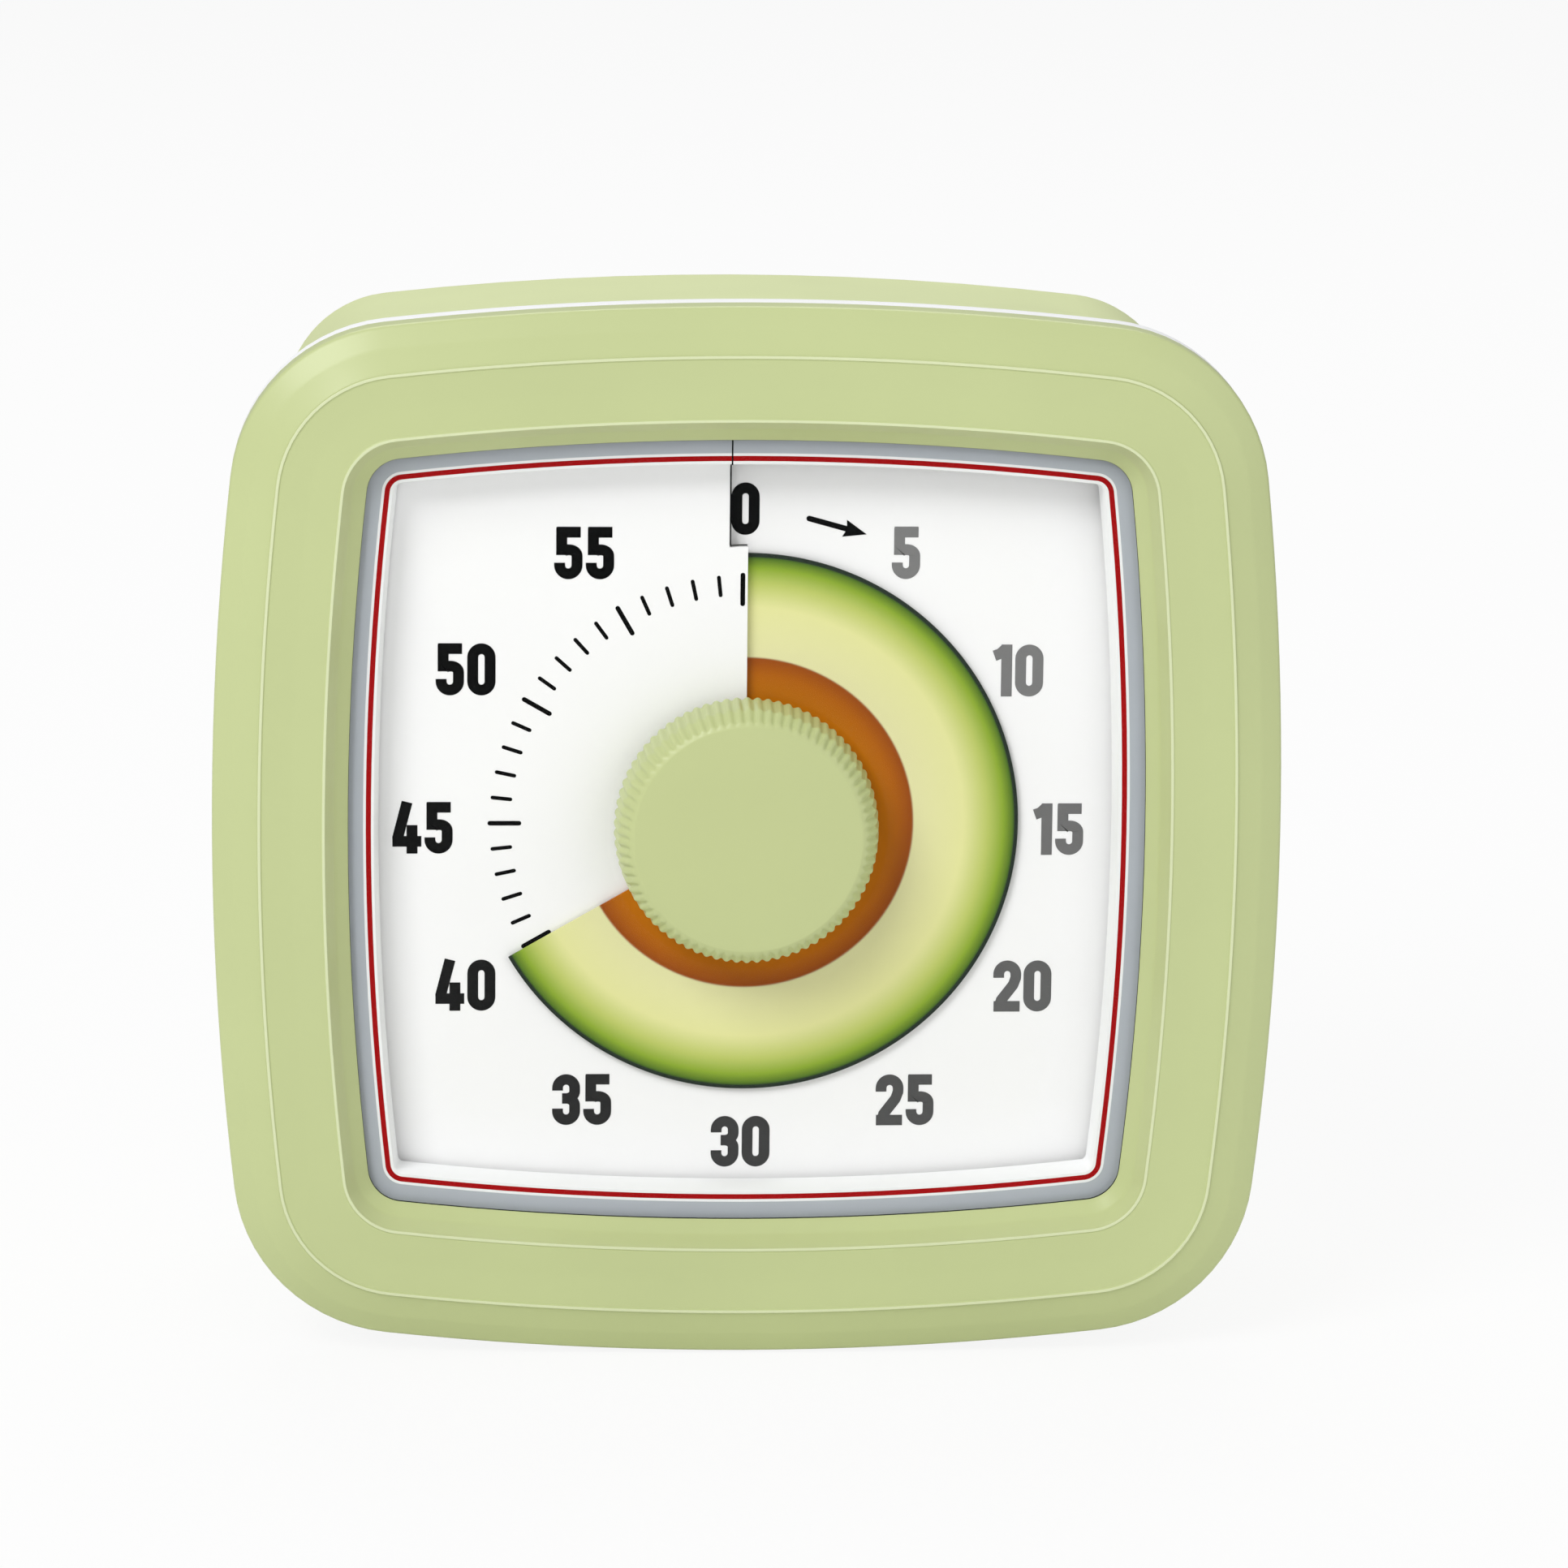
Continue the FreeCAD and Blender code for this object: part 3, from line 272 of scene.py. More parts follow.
def new_group(effect: Effect, inputs: dict[str, float], outputs: dict[str, str]) -> bpy.types.NodeTree:
    """Starts a shader group with named sockets.

    Args:
        effect: Which group it is.
        inputs: Value inputs with their defaults.
        outputs: Output names with their socket types.

    Returns:
        The empty group with its input and output nodes.
    """
    tree = bpy.data.node_groups.new(effect.value, "ShaderNodeTree")
    for name, default in inputs.items():
        socket = tree.interface.new_socket(name=name, in_out="INPUT", socket_type="NodeSocketFloat")
        socket.default_value = default
    for name, kind in outputs.items():
        tree.interface.new_socket(name=name, in_out="OUTPUT", socket_type=kind)
    tree.nodes.new("NodeGroupInput")
    tree.nodes.new("NodeGroupOutput")
    return tree


def moulded_group() -> bpy.types.NodeTree:
    """Builds the soft mottle and fine grain of moulded plastic.

    Returns:
        The group.
    """
    tree = new_group(Effect.MOULDED, {"Mottle Scale": 40.0, "Grain Scale": 1500.0},
                     {"Mottle": "NodeSocketFloat", "Grain": "NodeSocketFloat"})
    source, result = tree.nodes[0], tree.nodes[1]
    coordinates = tree.nodes.new("ShaderNodeTexCoord")
    for socket, scale, detail in (("Mottle", "Mottle Scale", 3.0), ("Grain", "Grain Scale", 4.0)):
        noise = tree.nodes.new("ShaderNodeTexNoise")
        noise.inputs["Detail"].default_value = detail
        tree.links.new(coordinates.outputs["Object"], noise.inputs["Vector"])
        tree.links.new(source.outputs[scale], noise.inputs["Scale"])
        tree.links.new(noise.outputs["Fac"], result.inputs[socket])
    return tree


def radial_group() -> bpy.types.NodeTree:
    """Builds the distance from the winding axis, as a share of a radius.

    Returns:
        The group.
    """
    tree = new_group(Effect.RADIAL, {"Axis Height": 0.0432, "Radius": 0.022}, {"Share": "NodeSocketFloat"})
    source, result = tree.nodes[0], tree.nodes[1]
    coordinates = tree.nodes.new("ShaderNodeTexCoord")
    parts = tree.nodes.new("ShaderNodeSeparateXYZ")
    tree.links.new(coordinates.outputs["Object"], parts.inputs[0])
    lift = maths(tree, "SUBTRACT", parts.outputs["Z"], source.outputs["Axis Height"])
    across = maths(tree, "MULTIPLY", parts.outputs["X"], parts.outputs["X"])
    up = maths(tree, "MULTIPLY", lift, lift)
    length = maths(tree, "SQRT", maths(tree, "ADD", across, up))
    tree.links.new(maths(tree, "DIVIDE", length, source.outputs["Radius"]), result.inputs["Share"])
    return tree


def turned_group() -> bpy.types.NodeTree:
    """Builds the fine lines that turning and drawing leave on metal.

    Returns:
        The group.
    """
    tree = new_group(Effect.TURNED, {"Line Scale": 900.0}, {"Lines": "NodeSocketFloat"})
    source, result = tree.nodes[0], tree.nodes[1]
    coordinates = tree.nodes.new("ShaderNodeTexCoord")
    stretch = tree.nodes.new("ShaderNodeMapping")
    stretch.inputs["Scale"].default_value = (1.0, 0.04, 1.0)
    noise = tree.nodes.new("ShaderNodeTexNoise")
    tree.links.new(coordinates.outputs["Object"], stretch.inputs["Vector"])
    tree.links.new(stretch.outputs["Vector"], noise.inputs["Vector"])
    tree.links.new(source.outputs["Line Scale"], noise.inputs["Scale"])
    tree.links.new(noise.outputs["Fac"], result.inputs["Lines"])
    return tree


GROUP_MAKERS = {Effect.MOULDED: moulded_group, Effect.RADIAL: radial_group, Effect.TURNED: turned_group}


def maths(tree: bpy.types.NodeTree, operation: str, first: object, second: object = None,
          third: object = None) -> bpy.types.NodeSocket:
    """Adds a math node.

    Args:
        tree: Tree to add it to.
        operation: Blender's name of the operation.
        first: A socket or a number.
        second: A socket, a number or nothing.
        third: A socket, a number or nothing.

    Returns:
        Its output socket.
    """
    node = tree.nodes.new("ShaderNodeMath")
    node.operation = operation
    for socket, value in zip(node.inputs, (first, second, third)):
        if isinstance(value, bpy.types.NodeSocket):
            tree.links.new(value, socket)
        elif value is not None:
            socket.default_value = value
    return node.outputs[0]


def group_node(tree: bpy.types.NodeTree, effect: Effect, **values: float) -> bpy.types.Node:
    """Places a shared group in a material, building it the first time.

    Args:
        tree: The material's tree.
        effect: Which group.
        values: Its inputs by name, with an underscore for each space.

    Returns:
        The group's node.
    """
    node = tree.nodes.new("ShaderNodeGroup")
    node.node_tree = bpy.data.node_groups.get(effect.value) or GROUP_MAKERS[effect]()
    for name, value in values.items():
        node.inputs[name.replace("_", " ")].default_value = value
    return node


def ramp(tree: bpy.types.NodeTree, factor: bpy.types.NodeSocket,
         stops: list[tuple[float, tuple]]) -> bpy.types.NodeSocket:
    """Adds a colour ramp.

    Args:
        tree: The material's tree.
        factor: Socket that runs along the ramp.
        stops: Positions with their linear colours.

    Returns:
        The ramp's colour socket.
    """
    node = tree.nodes.new("ShaderNodeValToRGB")
    band = node.color_ramp
    while len(band.elements) < len(stops):
        band.elements.new(0.5)
    for element, (position, colour) in zip(band.elements, stops):
        element.position = position
        element.color = colour
    tree.links.new(factor, node.inputs["Fac"])
    return node.outputs["Color"]


def new_material(name: str) -> tuple[bpy.types.Material, bpy.types.NodeTree, bpy.types.Node]:
    """Starts a material.

    Args:
        name: Name of the material.

    Returns:
        The material, its tree and its Principled shader.
    """
    material = bpy.data.materials.new(name)
    material.use_nodes = True
    return material, material.node_tree, material.node_tree.nodes["Principled BSDF"]


def vary(tree: bpy.types.NodeTree, mask: bpy.types.NodeSocket, target: bpy.types.NodeSocket, low: float,
         span: float) -> None:
    """Lets a mask move a shader value over the surface.

    Args:
        tree: The material's tree.
        mask: Socket that runs from 0 to 1 over the surface.
        target: The shader's socket.
        low: Value where the mask is 0.
        span: How far the value climbs to where the mask is 1.
    """
    tree.links.new(maths(tree, "MULTIPLY_ADD", mask, span, low), target)


def raise_grain(tree: bpy.types.NodeTree, mask: bpy.types.NodeSocket, shader: bpy.types.Node,
                height: float) -> None:
    """Raises fine relief on a shader's normal.

    Args:
        tree: The material's tree.
        mask: Socket with the relief.
        shader: The Principled shader.
        height: Height of the relief in millimetres.
    """
    bump = tree.nodes.new("ShaderNodeBump")
    bump.inputs["Distance"].default_value = height * MM
    tree.links.new(mask, bump.inputs["Height"])
    tree.links.new(bump.outputs["Normal"], shader.inputs["Normal"])


@dataclass(frozen=True)
class Plastic:
    """A moulded or printed plastic finish.

    Attributes:
        name: Name of the material.
        colour: Display colour from 0 to 255.
        spread: How far the mottle moves the colour, as a share.
        rough: Middle roughness.
        grain: Height of the fine grain, in millimetres.
        coat: Weight of a clear gloss over it.
        sheen: Strength of its plain reflection.
    """

    name: str
    colour: tuple[float, float, float]
    spread: float = 0.02
    rough: float = 0.42
    grain: float = 0.004
    coat: float = 0.0
    sheen: float = 0.35

    ROUGH_SPAN = 0.12
    COAT_ROUGH = 0.2

    def make(self) -> bpy.types.Material:
        """Builds the material.

        Returns:
            The material.
        """
        material, tree, shader = new_material(self.name)
        surface = group_node(tree, Effect.MOULDED)
        dark = shade(*(channel * (1 - self.spread) for channel in self.colour))
        light = shade(*(min(WHITEST, channel * (1 + self.spread)) for channel in self.colour))
        colour = ramp(tree, surface.outputs["Mottle"], [(0.3, dark), (0.7, light)])
        tree.links.new(colour, shader.inputs["Base Color"])
        low = self.rough - self.ROUGH_SPAN / 2
        vary(tree, surface.outputs["Mottle"], shader.inputs["Roughness"], low, self.ROUGH_SPAN)
        raise_grain(tree, surface.outputs["Grain"], shader, self.grain)
        shader.inputs["Coat Weight"].default_value = self.coat
        shader.inputs["Coat Roughness"].default_value = self.COAT_ROUGH
        shader.inputs["Specular IOR Level"].default_value = self.sheen
        return material


@dataclass(frozen=True)
class Metal:
    """A metal finish with fine tool lines.

    Attributes:
        name: Name of the material.
        colour: Display colour from 0 to 255.
        rough: Middle roughness.
    """

    name: str
    colour: tuple[float, float, float]
    rough: float = 0.3

    ROUGH_SPAN = 0.2
    LINE_DEPTH = 0.003
    SHADED = 0.9

    def make(self) -> bpy.types.Material:
        """Builds the material.

        Returns:
            The material.
        """
        material, tree, shader = new_material(self.name)
        shader.inputs["Metallic"].default_value = 1.0
        lines = group_node(tree, Effect.TURNED)
        dark = shade(*(channel * self.SHADED for channel in self.colour))
        colour = ramp(tree, lines.outputs["Lines"], [(0.35, dark), (0.65, shade(*self.colour))])
        tree.links.new(colour, shader.inputs["Base Color"])
        low = self.rough - self.ROUGH_SPAN / 2
        vary(tree, lines.outputs["Lines"], shader.inputs["Roughness"], low, self.ROUGH_SPAN)
        raise_grain(tree, lines.outputs["Lines"], shader, self.LINE_DEPTH)
        return material


@dataclass(frozen=True)
class Film:
    """The coloured film: a brown middle, a pale band that deepens to green, and a dark rim.

    Attributes:
        name: Name of the material.
        radius: Outer radius in metres.
        axis_z: Height of the winding axis in metres.
    """

    name: str
    radius: float
    axis_z: float

    BROWN = (198, 116, 12)
    RUST = (186, 103, 10)
    DEEP_RUST = (154, 74, 16)
    CREAM = (232, 230, 176)
    PALE = (230, 230, 162)
    LIME = (191, 203, 108)
    GREEN = (140, 170, 52)
    DEEP_GREEN = (78, 112, 36)
    RIM = (39, 49, 41)
    BANDS = ((0.5, BROWN), (0.552, RUST), (0.612, DEEP_RUST), (0.618, CREAM), (0.8, PALE), (0.885, LIME),
             (0.945, GREEN), (0.982, DEEP_GREEN), (0.988, RIM))
    ROUGH_LOW = 0.45
    ROUGH_SPAN = 0.1
    SHEEN = 0.08

    def make(self) -> bpy.types.Material:
        """Builds the material.

        Returns:
            The material.
        """
        material, tree, shader = new_material(self.name)
        share = group_node(tree, Effect.RADIAL, Axis_Height=self.axis_z, Radius=self.radius)
        stops = [(position, shade(*colour)) for position, colour in self.BANDS]
        tree.links.new(ramp(tree, share.outputs["Share"], stops), shader.inputs["Base Color"])
        surface = group_node(tree, Effect.MOULDED)
        vary(tree, surface.outputs["Mottle"], shader.inputs["Roughness"], self.ROUGH_LOW, self.ROUGH_SPAN)
        shader.inputs["Specular IOR Level"].default_value = self.SHEEN
        return material


@dataclass(frozen=True)
class ClearLens:
    """The clear window, almost unseen from the front.

    Attributes:
        name: Name of the material.
    """

    name: str

    TINT = (0.3, 0.32, 0.33, 1.0)
    MOTTLE_SCALE = 25.0
    ROUGH = (0.03, 0.05)
    HAZE = (0.004, 0.01)

    def make(self) -> bpy.types.Material:
        """Builds the material.

        Returns:
            The material.
        """
        material, tree, shader = new_material(self.name)
        shader.inputs["Base Color"].default_value = self.TINT
        surface = group_node(tree, Effect.MOULDED, Mottle_Scale=self.MOTTLE_SCALE)
        vary(tree, surface.outputs["Mottle"], shader.inputs["Roughness"], *self.ROUGH)
        vary(tree, surface.outputs["Mottle"], shader.inputs["Alpha"], *self.HAZE)
        return material


@dataclass
class Case:
    """Bezel, surround and tray.

    Attributes:
        place: The timer's frame.
        outer: The bezel's outline.
    """

    place: Place
    outer: Outline = Outline(43.0, 262.0, 13.8)

    # Half widths of the two raised lines, which get a lighter painted highlight.
    LINES = ((39.08, 39.34), (33.93, 34.18))
    # Where the lip's inner wall falls, which gets a dark painted shadow.
    SEAM_HALF = 32.2
    SEAM_TOP = 1.25
    BORDER_TOP = 0.37

    def sweep(self, name: str, section: list[tuple[float, float]], slots: list[int],
              materials: list[bpy.types.Material]) -> bpy.types.Object:
        """Sweeps a section of half widths and heights round the bezel's outline.

        Args:
            name: Name of the piece.
            section: Points as half width and height.
            slots: Material slot of each strip.
            materials: Materials of the slots.

        Returns:
            The piece.
        """
        maker = MeshMaker(name)
        rows = []
        for point, normal in self.outer.samples():
            row = []
            for half, height in section:
                flat = point - normal * (self.outer.half - half)
                row.append(self.place.point(flat.x, flat.y, height))
            rows.append(row)
        maker.grid(rows, slots)
        return maker.build(materials)

    def bezel(self, body: bpy.types.Material, edge: bpy.types.Material, lip_shadow: bpy.types.Material) -> None:
        """Builds the bezel: two raised edge lines in painted highlight, a hollow cove, a lip wall in
        painted shadow.

        Args:
            body: Material of the moulding.
            edge: Material of the raised lines, a lighter colour painted on as their highlight.
            lip_shadow: Material of the lip's inner wall, a dark colour painted on as its shadow.
        """
        section = rounded([
            (43.0, 0.0, 0), (43.0, 2.2, 0.5), (41.3, 3.1, 3.0),
            (39.38, 3.82, 0.05), (39.3, 4.0, 0.05), (39.1, 4.0, 0.05), (39.0, 3.88, 0.05),
            (36.6, 3.72, 6.0),
            (34.25, 3.72, 0.06), (34.15, 3.8, 0.05), (33.95, 3.8, 0.05), (33.85, 3.5, 0.06),
            (33.2, 2.2, 1.2), (32.35, 1.45, 0.5), (32.1, 1.2, 0.1), (32.1, 1.0, 0),
            (33.15, 1.0, 0), (33.15, 0.0, 0),
        ], 6)
        slots = []
        for near, far in zip(section, section[1:]):
            middle = (near[0] + far[0]) / 2
            # Strips on the raised lines get the lighter painted highlight.
            on_highlight_line = any(low < middle < high for low, high in self.LINES)
            # The strip falling down the lip's inner wall gets the dark painted shadow.
            in_lip_shadow = middle < self.SEAM_HALF and self.SEAM_TOP > near[1] > far[1]
            slots.append(2 if in_lip_shadow else 1 if on_highlight_line else 0)
        piece = self.sweep("bezel_shell", section, slots, [body, edge, lip_shadow])
        settle(piece, "case", "bezel_green", "bezel")

    def flange(self, white: bpy.types.Material) -> None:
        """Builds the tray's smooth white rim between bezel and cover.

        Args:
            white: Material of the rim.
        """
        inner, half = 39.5, 42.96
        top, back = -0.03, -2.36
        section = rounded([(inner, top, 0), (half, top, 0.05), (half, back, 0.15), (inner, back, 0)])
        piece = self.sweep("tray_rim", section, [0] * (len(section) - 1), [white])
        settle(piece, "case", "tray_white")

    def surround(self, grey: bpy.types.Material, white: bpy.types.Material,
                 red: bpy.types.Material) -> None:
        """Builds the grey border with its red line between two white ones, and its skirt.

        Args:
            grey: Material of the border.
            white: Material of the two white lines and the skirt.
            red: Material of the red line.
        """
        top = self.BORDER_TOP
        section = [(33.0, top), (30.92, top), (30.7, top), (30.28, top), (30.06, top), (30.0, top - 0.06),
                   (29.7, -2.4), (30.2, -2.4), (30.5, -0.15), (33.0, -0.15), (33.0, top)]
        slots = [0, 1, 2, 1, 1, 1, 1, 1, 0, 0]
        piece = self.sweep("dial_border", section, slots, [grey, white, red])
        settle(piece, "case", "surround_grey", "dial_surround")


class Printed(Enum):
    """Marks printed on the dial besides its numerals."""

    TICKS = "minute_ticks"
    ARROW = "winding_arrow"


@dataclass
class Dial:
    """The slit dial and its print.

    Attributes:
        place: The timer's frame.
        outline: The plate's outline.
        middle: Height of the dial's middle.
        pitch: How far the plate climbs in one turn.
        thickness: The plate's thickness.
        hole: Radius of the hole for the hub.
        jog: How far the slit's outer part lies to the left.
        jog_radius: Where the slit steps over.
    """

    place: Place
    outline: Outline = Outline(31.1, 250.1, 1.9)
    middle: float = -3.3
    pitch: float = 1.2
    thickness: float = 0.5
    hole: float = 4.6
    jog: float = 1.42
    jog_radius: float = 22.8

    MINUTES = 60
    LONG_EVERY = 5
    DIGIT_HEIGHT = 4.28
    UNIT = DIGIT_HEIGHT / 65
    STROKE = 13.4
    SPACE = 3.6
    PRINT_LIFT = 0.02
    STROKE_LIFT = 0.002
    RING_MIDDLE = (-0.19, -0.51)
    RING_ACROSS = 25.96
    RING_UP = 26.22
    RING_TILT = -0.13
    FIRST_FIGURE_SHIFT = {"1": -0.27, "2": 0.46}
    CORNER_SHARE = 0.989
    PALEST = 126
    DARKEST = 3
    FADE_MINUTES = 50
    TICK_MIDDLE = (-0.2, 0.0)
    TOP_TICK_SHIFT = (-0.2, 0.0)
    LONG_TICK = (18.15, 20.5, 0.38)
    SHORT_TICK = (18.95, 20.4, 0.31)

    def height(self, x: float, y: float) -> float:
        """Gives the middle height of the plate over a flat point.

        Args:
            x: Millimetres to the right.
            y: Millimetres up.

        Returns:
            Height above the bezel's back face.
        """
        on_tongue = -self.jog < x < 0 and y > self.jog_radius
        turn = 0.0 if on_tongue else (math.atan2(x, y) / (2 * math.pi)) % 1.0
        return self.middle + self.pitch * (turn - 0.5)

    def surface(self, x: float, y: float, lift: float = PRINT_LIFT) -> Vector:
        """Gives the point of the plate's face over a flat point."""
        return self.place.point(x, y, self.height(x, y) + self.thickness / 2 + lift)

    def reach(self, angle: float) -> float:
        """Gives the outline's distance from the axis.

        Args:
            angle: Clockwise angle from the top.

        Returns:
            The distance, cut off at the corners.
        """
        direction = Vector((math.sin(angle), math.cos(angle)))
        side = self.outline.side
        shift = side - self.outline.half
        across = max(abs(direction.x), abs(direction.y))
        along = -shift * across + math.sqrt((shift * across) ** 2 + side ** 2 - shift ** 2)
        return min(along, self.outline.half * math.sqrt(2) * self.CORNER_SHARE)

    def plate(self, body: bpy.types.Material) -> None:
        """Builds the smooth spiral plate with the slit from its hole to its top edge.

        Args:
            body: Material of the plate.
        """
        steps = 240
        rings = 5
        gap = 0.06
        maker = MeshMaker("dial_sheet")
        for outside in (False, True):
            rows = []
            for step in range(steps + 1):
                share = step / steps
                front, back = [], []
                for ring in range(rings + 1):
                    if outside:
                        around = 2 * math.pi * share
                        radius = self.jog_radius + (self.reach(around) - self.jog_radius) * ring / rings
                        angle = around - math.asin((self.jog + gap * share) / radius)
                    else:
                        radius = self.hole + (self.jog_radius - self.hole) * (rings - ring) / rings
                        angle = 2 * math.pi * share
                    rise = self.middle + self.pitch * (max(0.0, angle) / (2 * math.pi) - 0.5)
                    x, y = radius * math.sin(angle), radius * math.cos(angle)
                    front.append(self.place.point(x, y, rise + self.thickness / 2))
                    back.append(self.place.point(x, y, rise - self.thickness / 2))
                rows.append(front + back[::-1])
            maker.grid(rows, wrap=False)
            for row in (rows[0], rows[-1]):
                maker.plate(row)
        settle(maker.build([body]), "case", "dial_white", "dial_plate")

    def arc(self, cx: float, cy: float, rx: float, ry: float, start: float,
            end: float) -> list[tuple[float, float]]:
        """Walks part of an ellipse.

        Args:
            cx: Middle, across.
            cy: Middle, up.
            rx: Half width.
            ry: Half height.
            start: First angle in degrees.
            end: Last angle in degrees.

        Returns:
            The walk's points.
        """
        steps = max(6, int(abs(end - start) / 9))
        angles = [math.radians(start + (end - start) * step / steps) for step in range(steps + 1)]
        return [(cx + rx * math.cos(angle), cy + ry * math.sin(angle)) for angle in angles]

    def digit(self, figure: str) -> tuple[float, list[tuple[list[tuple[float, float]], bool]]]:
        """Gives a figure's pen strokes on a grid 65 units high.

        Args:
            figure: One of the digits on the dial.

        Returns:
            The figure's width, and its strokes as points and whether each closes.
        """
        arc = self.arc
        top = arc(17.5, 47.5, 10.6, 10.8, 180, 0)
        low = arc(17.5, 17.5, 10.6, 10.8, 0, -180)
        if figure == "0":
            return 35, [(top + low, True)]
        if figure == "1":
            return 23, [([(16.2, 0), (16.2, 65)], False), ([(1, 51), (8, 53.5), (15, 60)], False)]
        if figure == "2":
            body = [(6.9, 43)] + top + [(28.1, 43), (25, 34), (10, 14), (8.4, 6.6)]
            return 34, [(body, False), ([(1, 6.6), (33.5, 6.6)], False)]
        if figure == "3":
            upper = [(6.9, 44)] + top + arc(17.5, 43, 10.6, 9, 0, -80)
            lower = arc(17.5, 25, 10.6, 9, 80, 0) + low + [(6.9, 21)]
            return 35, [(upper, False), (lower, False), ([(12.5, 34), (20, 34)], False)]
        if figure == "4":
            return 36, [([(18.5, 65), (6.5, 18)], False), ([(0.5, 15.5), (36, 15.5)], False),
                        ([(24.5, 0), (24.5, 36)], False)]
        bowl = [(9.5, 31)] + arc(18.2, 29.2, 9.9, 7.4, 150, 0) + low + [(6.9, 20.5)]
        return 35, [([(32.5, 58.4), (3.2, 58.4)], False), ([(9.4, 64), (9.4, 30)], False), (bowl, False)]

    def stroke(self, maker: MeshMaker, points: list[tuple[float, float]], width: float, closed: bool,
               lift: float) -> None:
        """Lays a flat pen stroke on the plate.

        Args:
            maker: Mesh to add to.
            points: Middle line in millimetres on the dial.
            width: Stroke width.
            closed: Whether it joins its start.
            lift: Height above the plate.
        """
        line = [Vector(point) for point in points]
        line = [point for index, point in enumerate(line) if (point - line[index - 1]).length > 1e-4]
        count = len(line)
        rows = []
        for index, point in enumerate(line):
            before = line[index - 1] if index or closed else point
            after = line[(index + 1) % count] if index < count - 1 or closed else point
            along = (after - before).normalized()
            side = Vector((-along.y, along.x)) * width / 2
            rows.append([self.surface(*(point + side), lift), self.surface(*(point - side), lift)])
        maker.grid(rows, wrap=closed)

    def grade(self, minutes: int) -> float:
        """Gives a numeral's grey, palest just after the top and black again near the end of the turn.

        Args:
            minutes: The numeral.

        Returns:
            The grey from 0 to 255.
        """
        turn = min(1.0, (minutes - self.LONG_EVERY) % self.MINUTES / self.FADE_MINUTES)
        return self.DARKEST + (self.PALEST - self.DARKEST) * (0.5 + 0.5 * math.cos(math.pi * turn))

    def numeral_middle(self, minutes: int) -> Vector:
        """Gives the middle of a numeral on its slightly tall ring, shifted to look centred.

        Args:
            minutes: The numeral.

        Returns:
            The flat point in millimetres.
        """
        angle = 2 * math.pi * minutes / self.MINUTES
        x = self.RING_MIDDLE[0] + self.RING_ACROSS * math.sin(angle)
        y = self.RING_MIDDLE[1] + self.RING_UP * math.cos(angle) + self.RING_TILT * math.sin(angle)
        return Vector((x + self.FIRST_FIGURE_SHIFT.get(str(minutes)[0], 0.0), y))

    def numerals(self) -> None:
        """Prints the numerals, each in its own grade of grey."""
        for minutes in range(0, self.MINUTES, self.LONG_EVERY):
            grey = (self.grade(minutes),) * 3
            marking = Plastic("ink_%02d" % minutes, grey, 0.02, 0.8, 0.001, sheen=0.02).make()
            figures = [self.digit(figure) for figure in str(minutes)]
            total = sum(width for width, strokes in figures) + self.SPACE * (len(figures) - 1)
            middle = self.numeral_middle(minutes)
            left = middle.x - total * self.UNIT / 2
            low = middle.y - self.DIGIT_HEIGHT / 2
            maker = MeshMaker("numeral_%02d" % minutes)
            for width, strokes in figures:
                for number, (points, closed) in enumerate(strokes):
                    line = [(left + x * self.UNIT, low + y * self.UNIT) for x, y in points]
                    lift = self.PRINT_LIFT + self.STROKE_LIFT * number
                    self.stroke(maker, line, self.STROKE * self.UNIT, closed, lift)
                left += (width + self.SPACE) * self.UNIT
            settle(maker.build([marking]), "case", "dial_white")

    def ticks(self, marking: bpy.types.Material) -> None:
        """Prints the minute ticks, long at every fifth.

        Args:
            marking: Material of the print.
        """
        maker = MeshMaker(Printed.TICKS.value)
        centre = Vector(self.TICK_MIDDLE)
        for minute in range(self.MINUTES):
            inner, outer, width = self.SHORT_TICK if minute % self.LONG_EVERY else self.LONG_TICK
            angle = 2 * math.pi * minute / self.MINUTES
            along = Vector((math.sin(angle), math.cos(angle)))
            shift = centre if minute else centre + Vector(self.TOP_TICK_SHIFT)
            ends = self.capsule(along * inner + shift, along * outer + shift, width)
            maker.plate([self.surface(*point) for point in ends])
        settle(maker.build([marking]), "case", "dial_white")

    def capsule(self, start: Vector, end: Vector, width: float) -> list[Vector]:
        """Outlines a bar with round ends.

        Args:
            start: Middle of one end.
            end: Middle of the other end.
            width: The bar's width.

        Returns:
            The outline's flat points.
        """
        steps = 8
        heading = math.atan2(end.y - start.y, end.x - start.x)
        outline = []
        for centre, turn in ((end, heading - math.pi / 2), (start, heading + math.pi / 2)):
            for step in range(steps + 1):
                angle = turn + math.pi * step / steps
                outline.append(centre + Vector((math.cos(angle), math.sin(angle))) * width / 2)
        return outline

    def arrow(self, marking: bpy.types.Material) -> None:
        """Prints the arrow that shows which way to wind.

        Args:
            marking: Material of the print.
        """
        tail, tip = Vector((4.95, 24.92)), Vector((9.6, 23.64))
        shaft, head_half, head_length = 0.46, 0.72, 1.75
        along = (tip - tail).normalized()
        side = Vector((-along.y, along.x))
        neck = tip - along * head_length
        maker = MeshMaker(Printed.ARROW.value)
        maker.plate([self.surface(*point) for point in self.capsule(tail, neck + along * 0.3, shaft)])
        barb = neck - along * 0.12
        head = [tip, barb + side * head_half, neck + along * 0.1, barb - side * head_half]
        lift = self.PRINT_LIFT + 2 * self.STROKE_LIFT
        maker.plate([self.surface(*point, lift) for point in head])
        settle(maker.build([marking]), "case", "dial_white")

    def slit(self, marking: bpy.types.Material) -> None:
        """Lays a thin black strip along the slit's cut edges across dial and border, as painted shadow.

        Args:
            marking: Material of the strip, black painted as the shadow in the slit.
        """
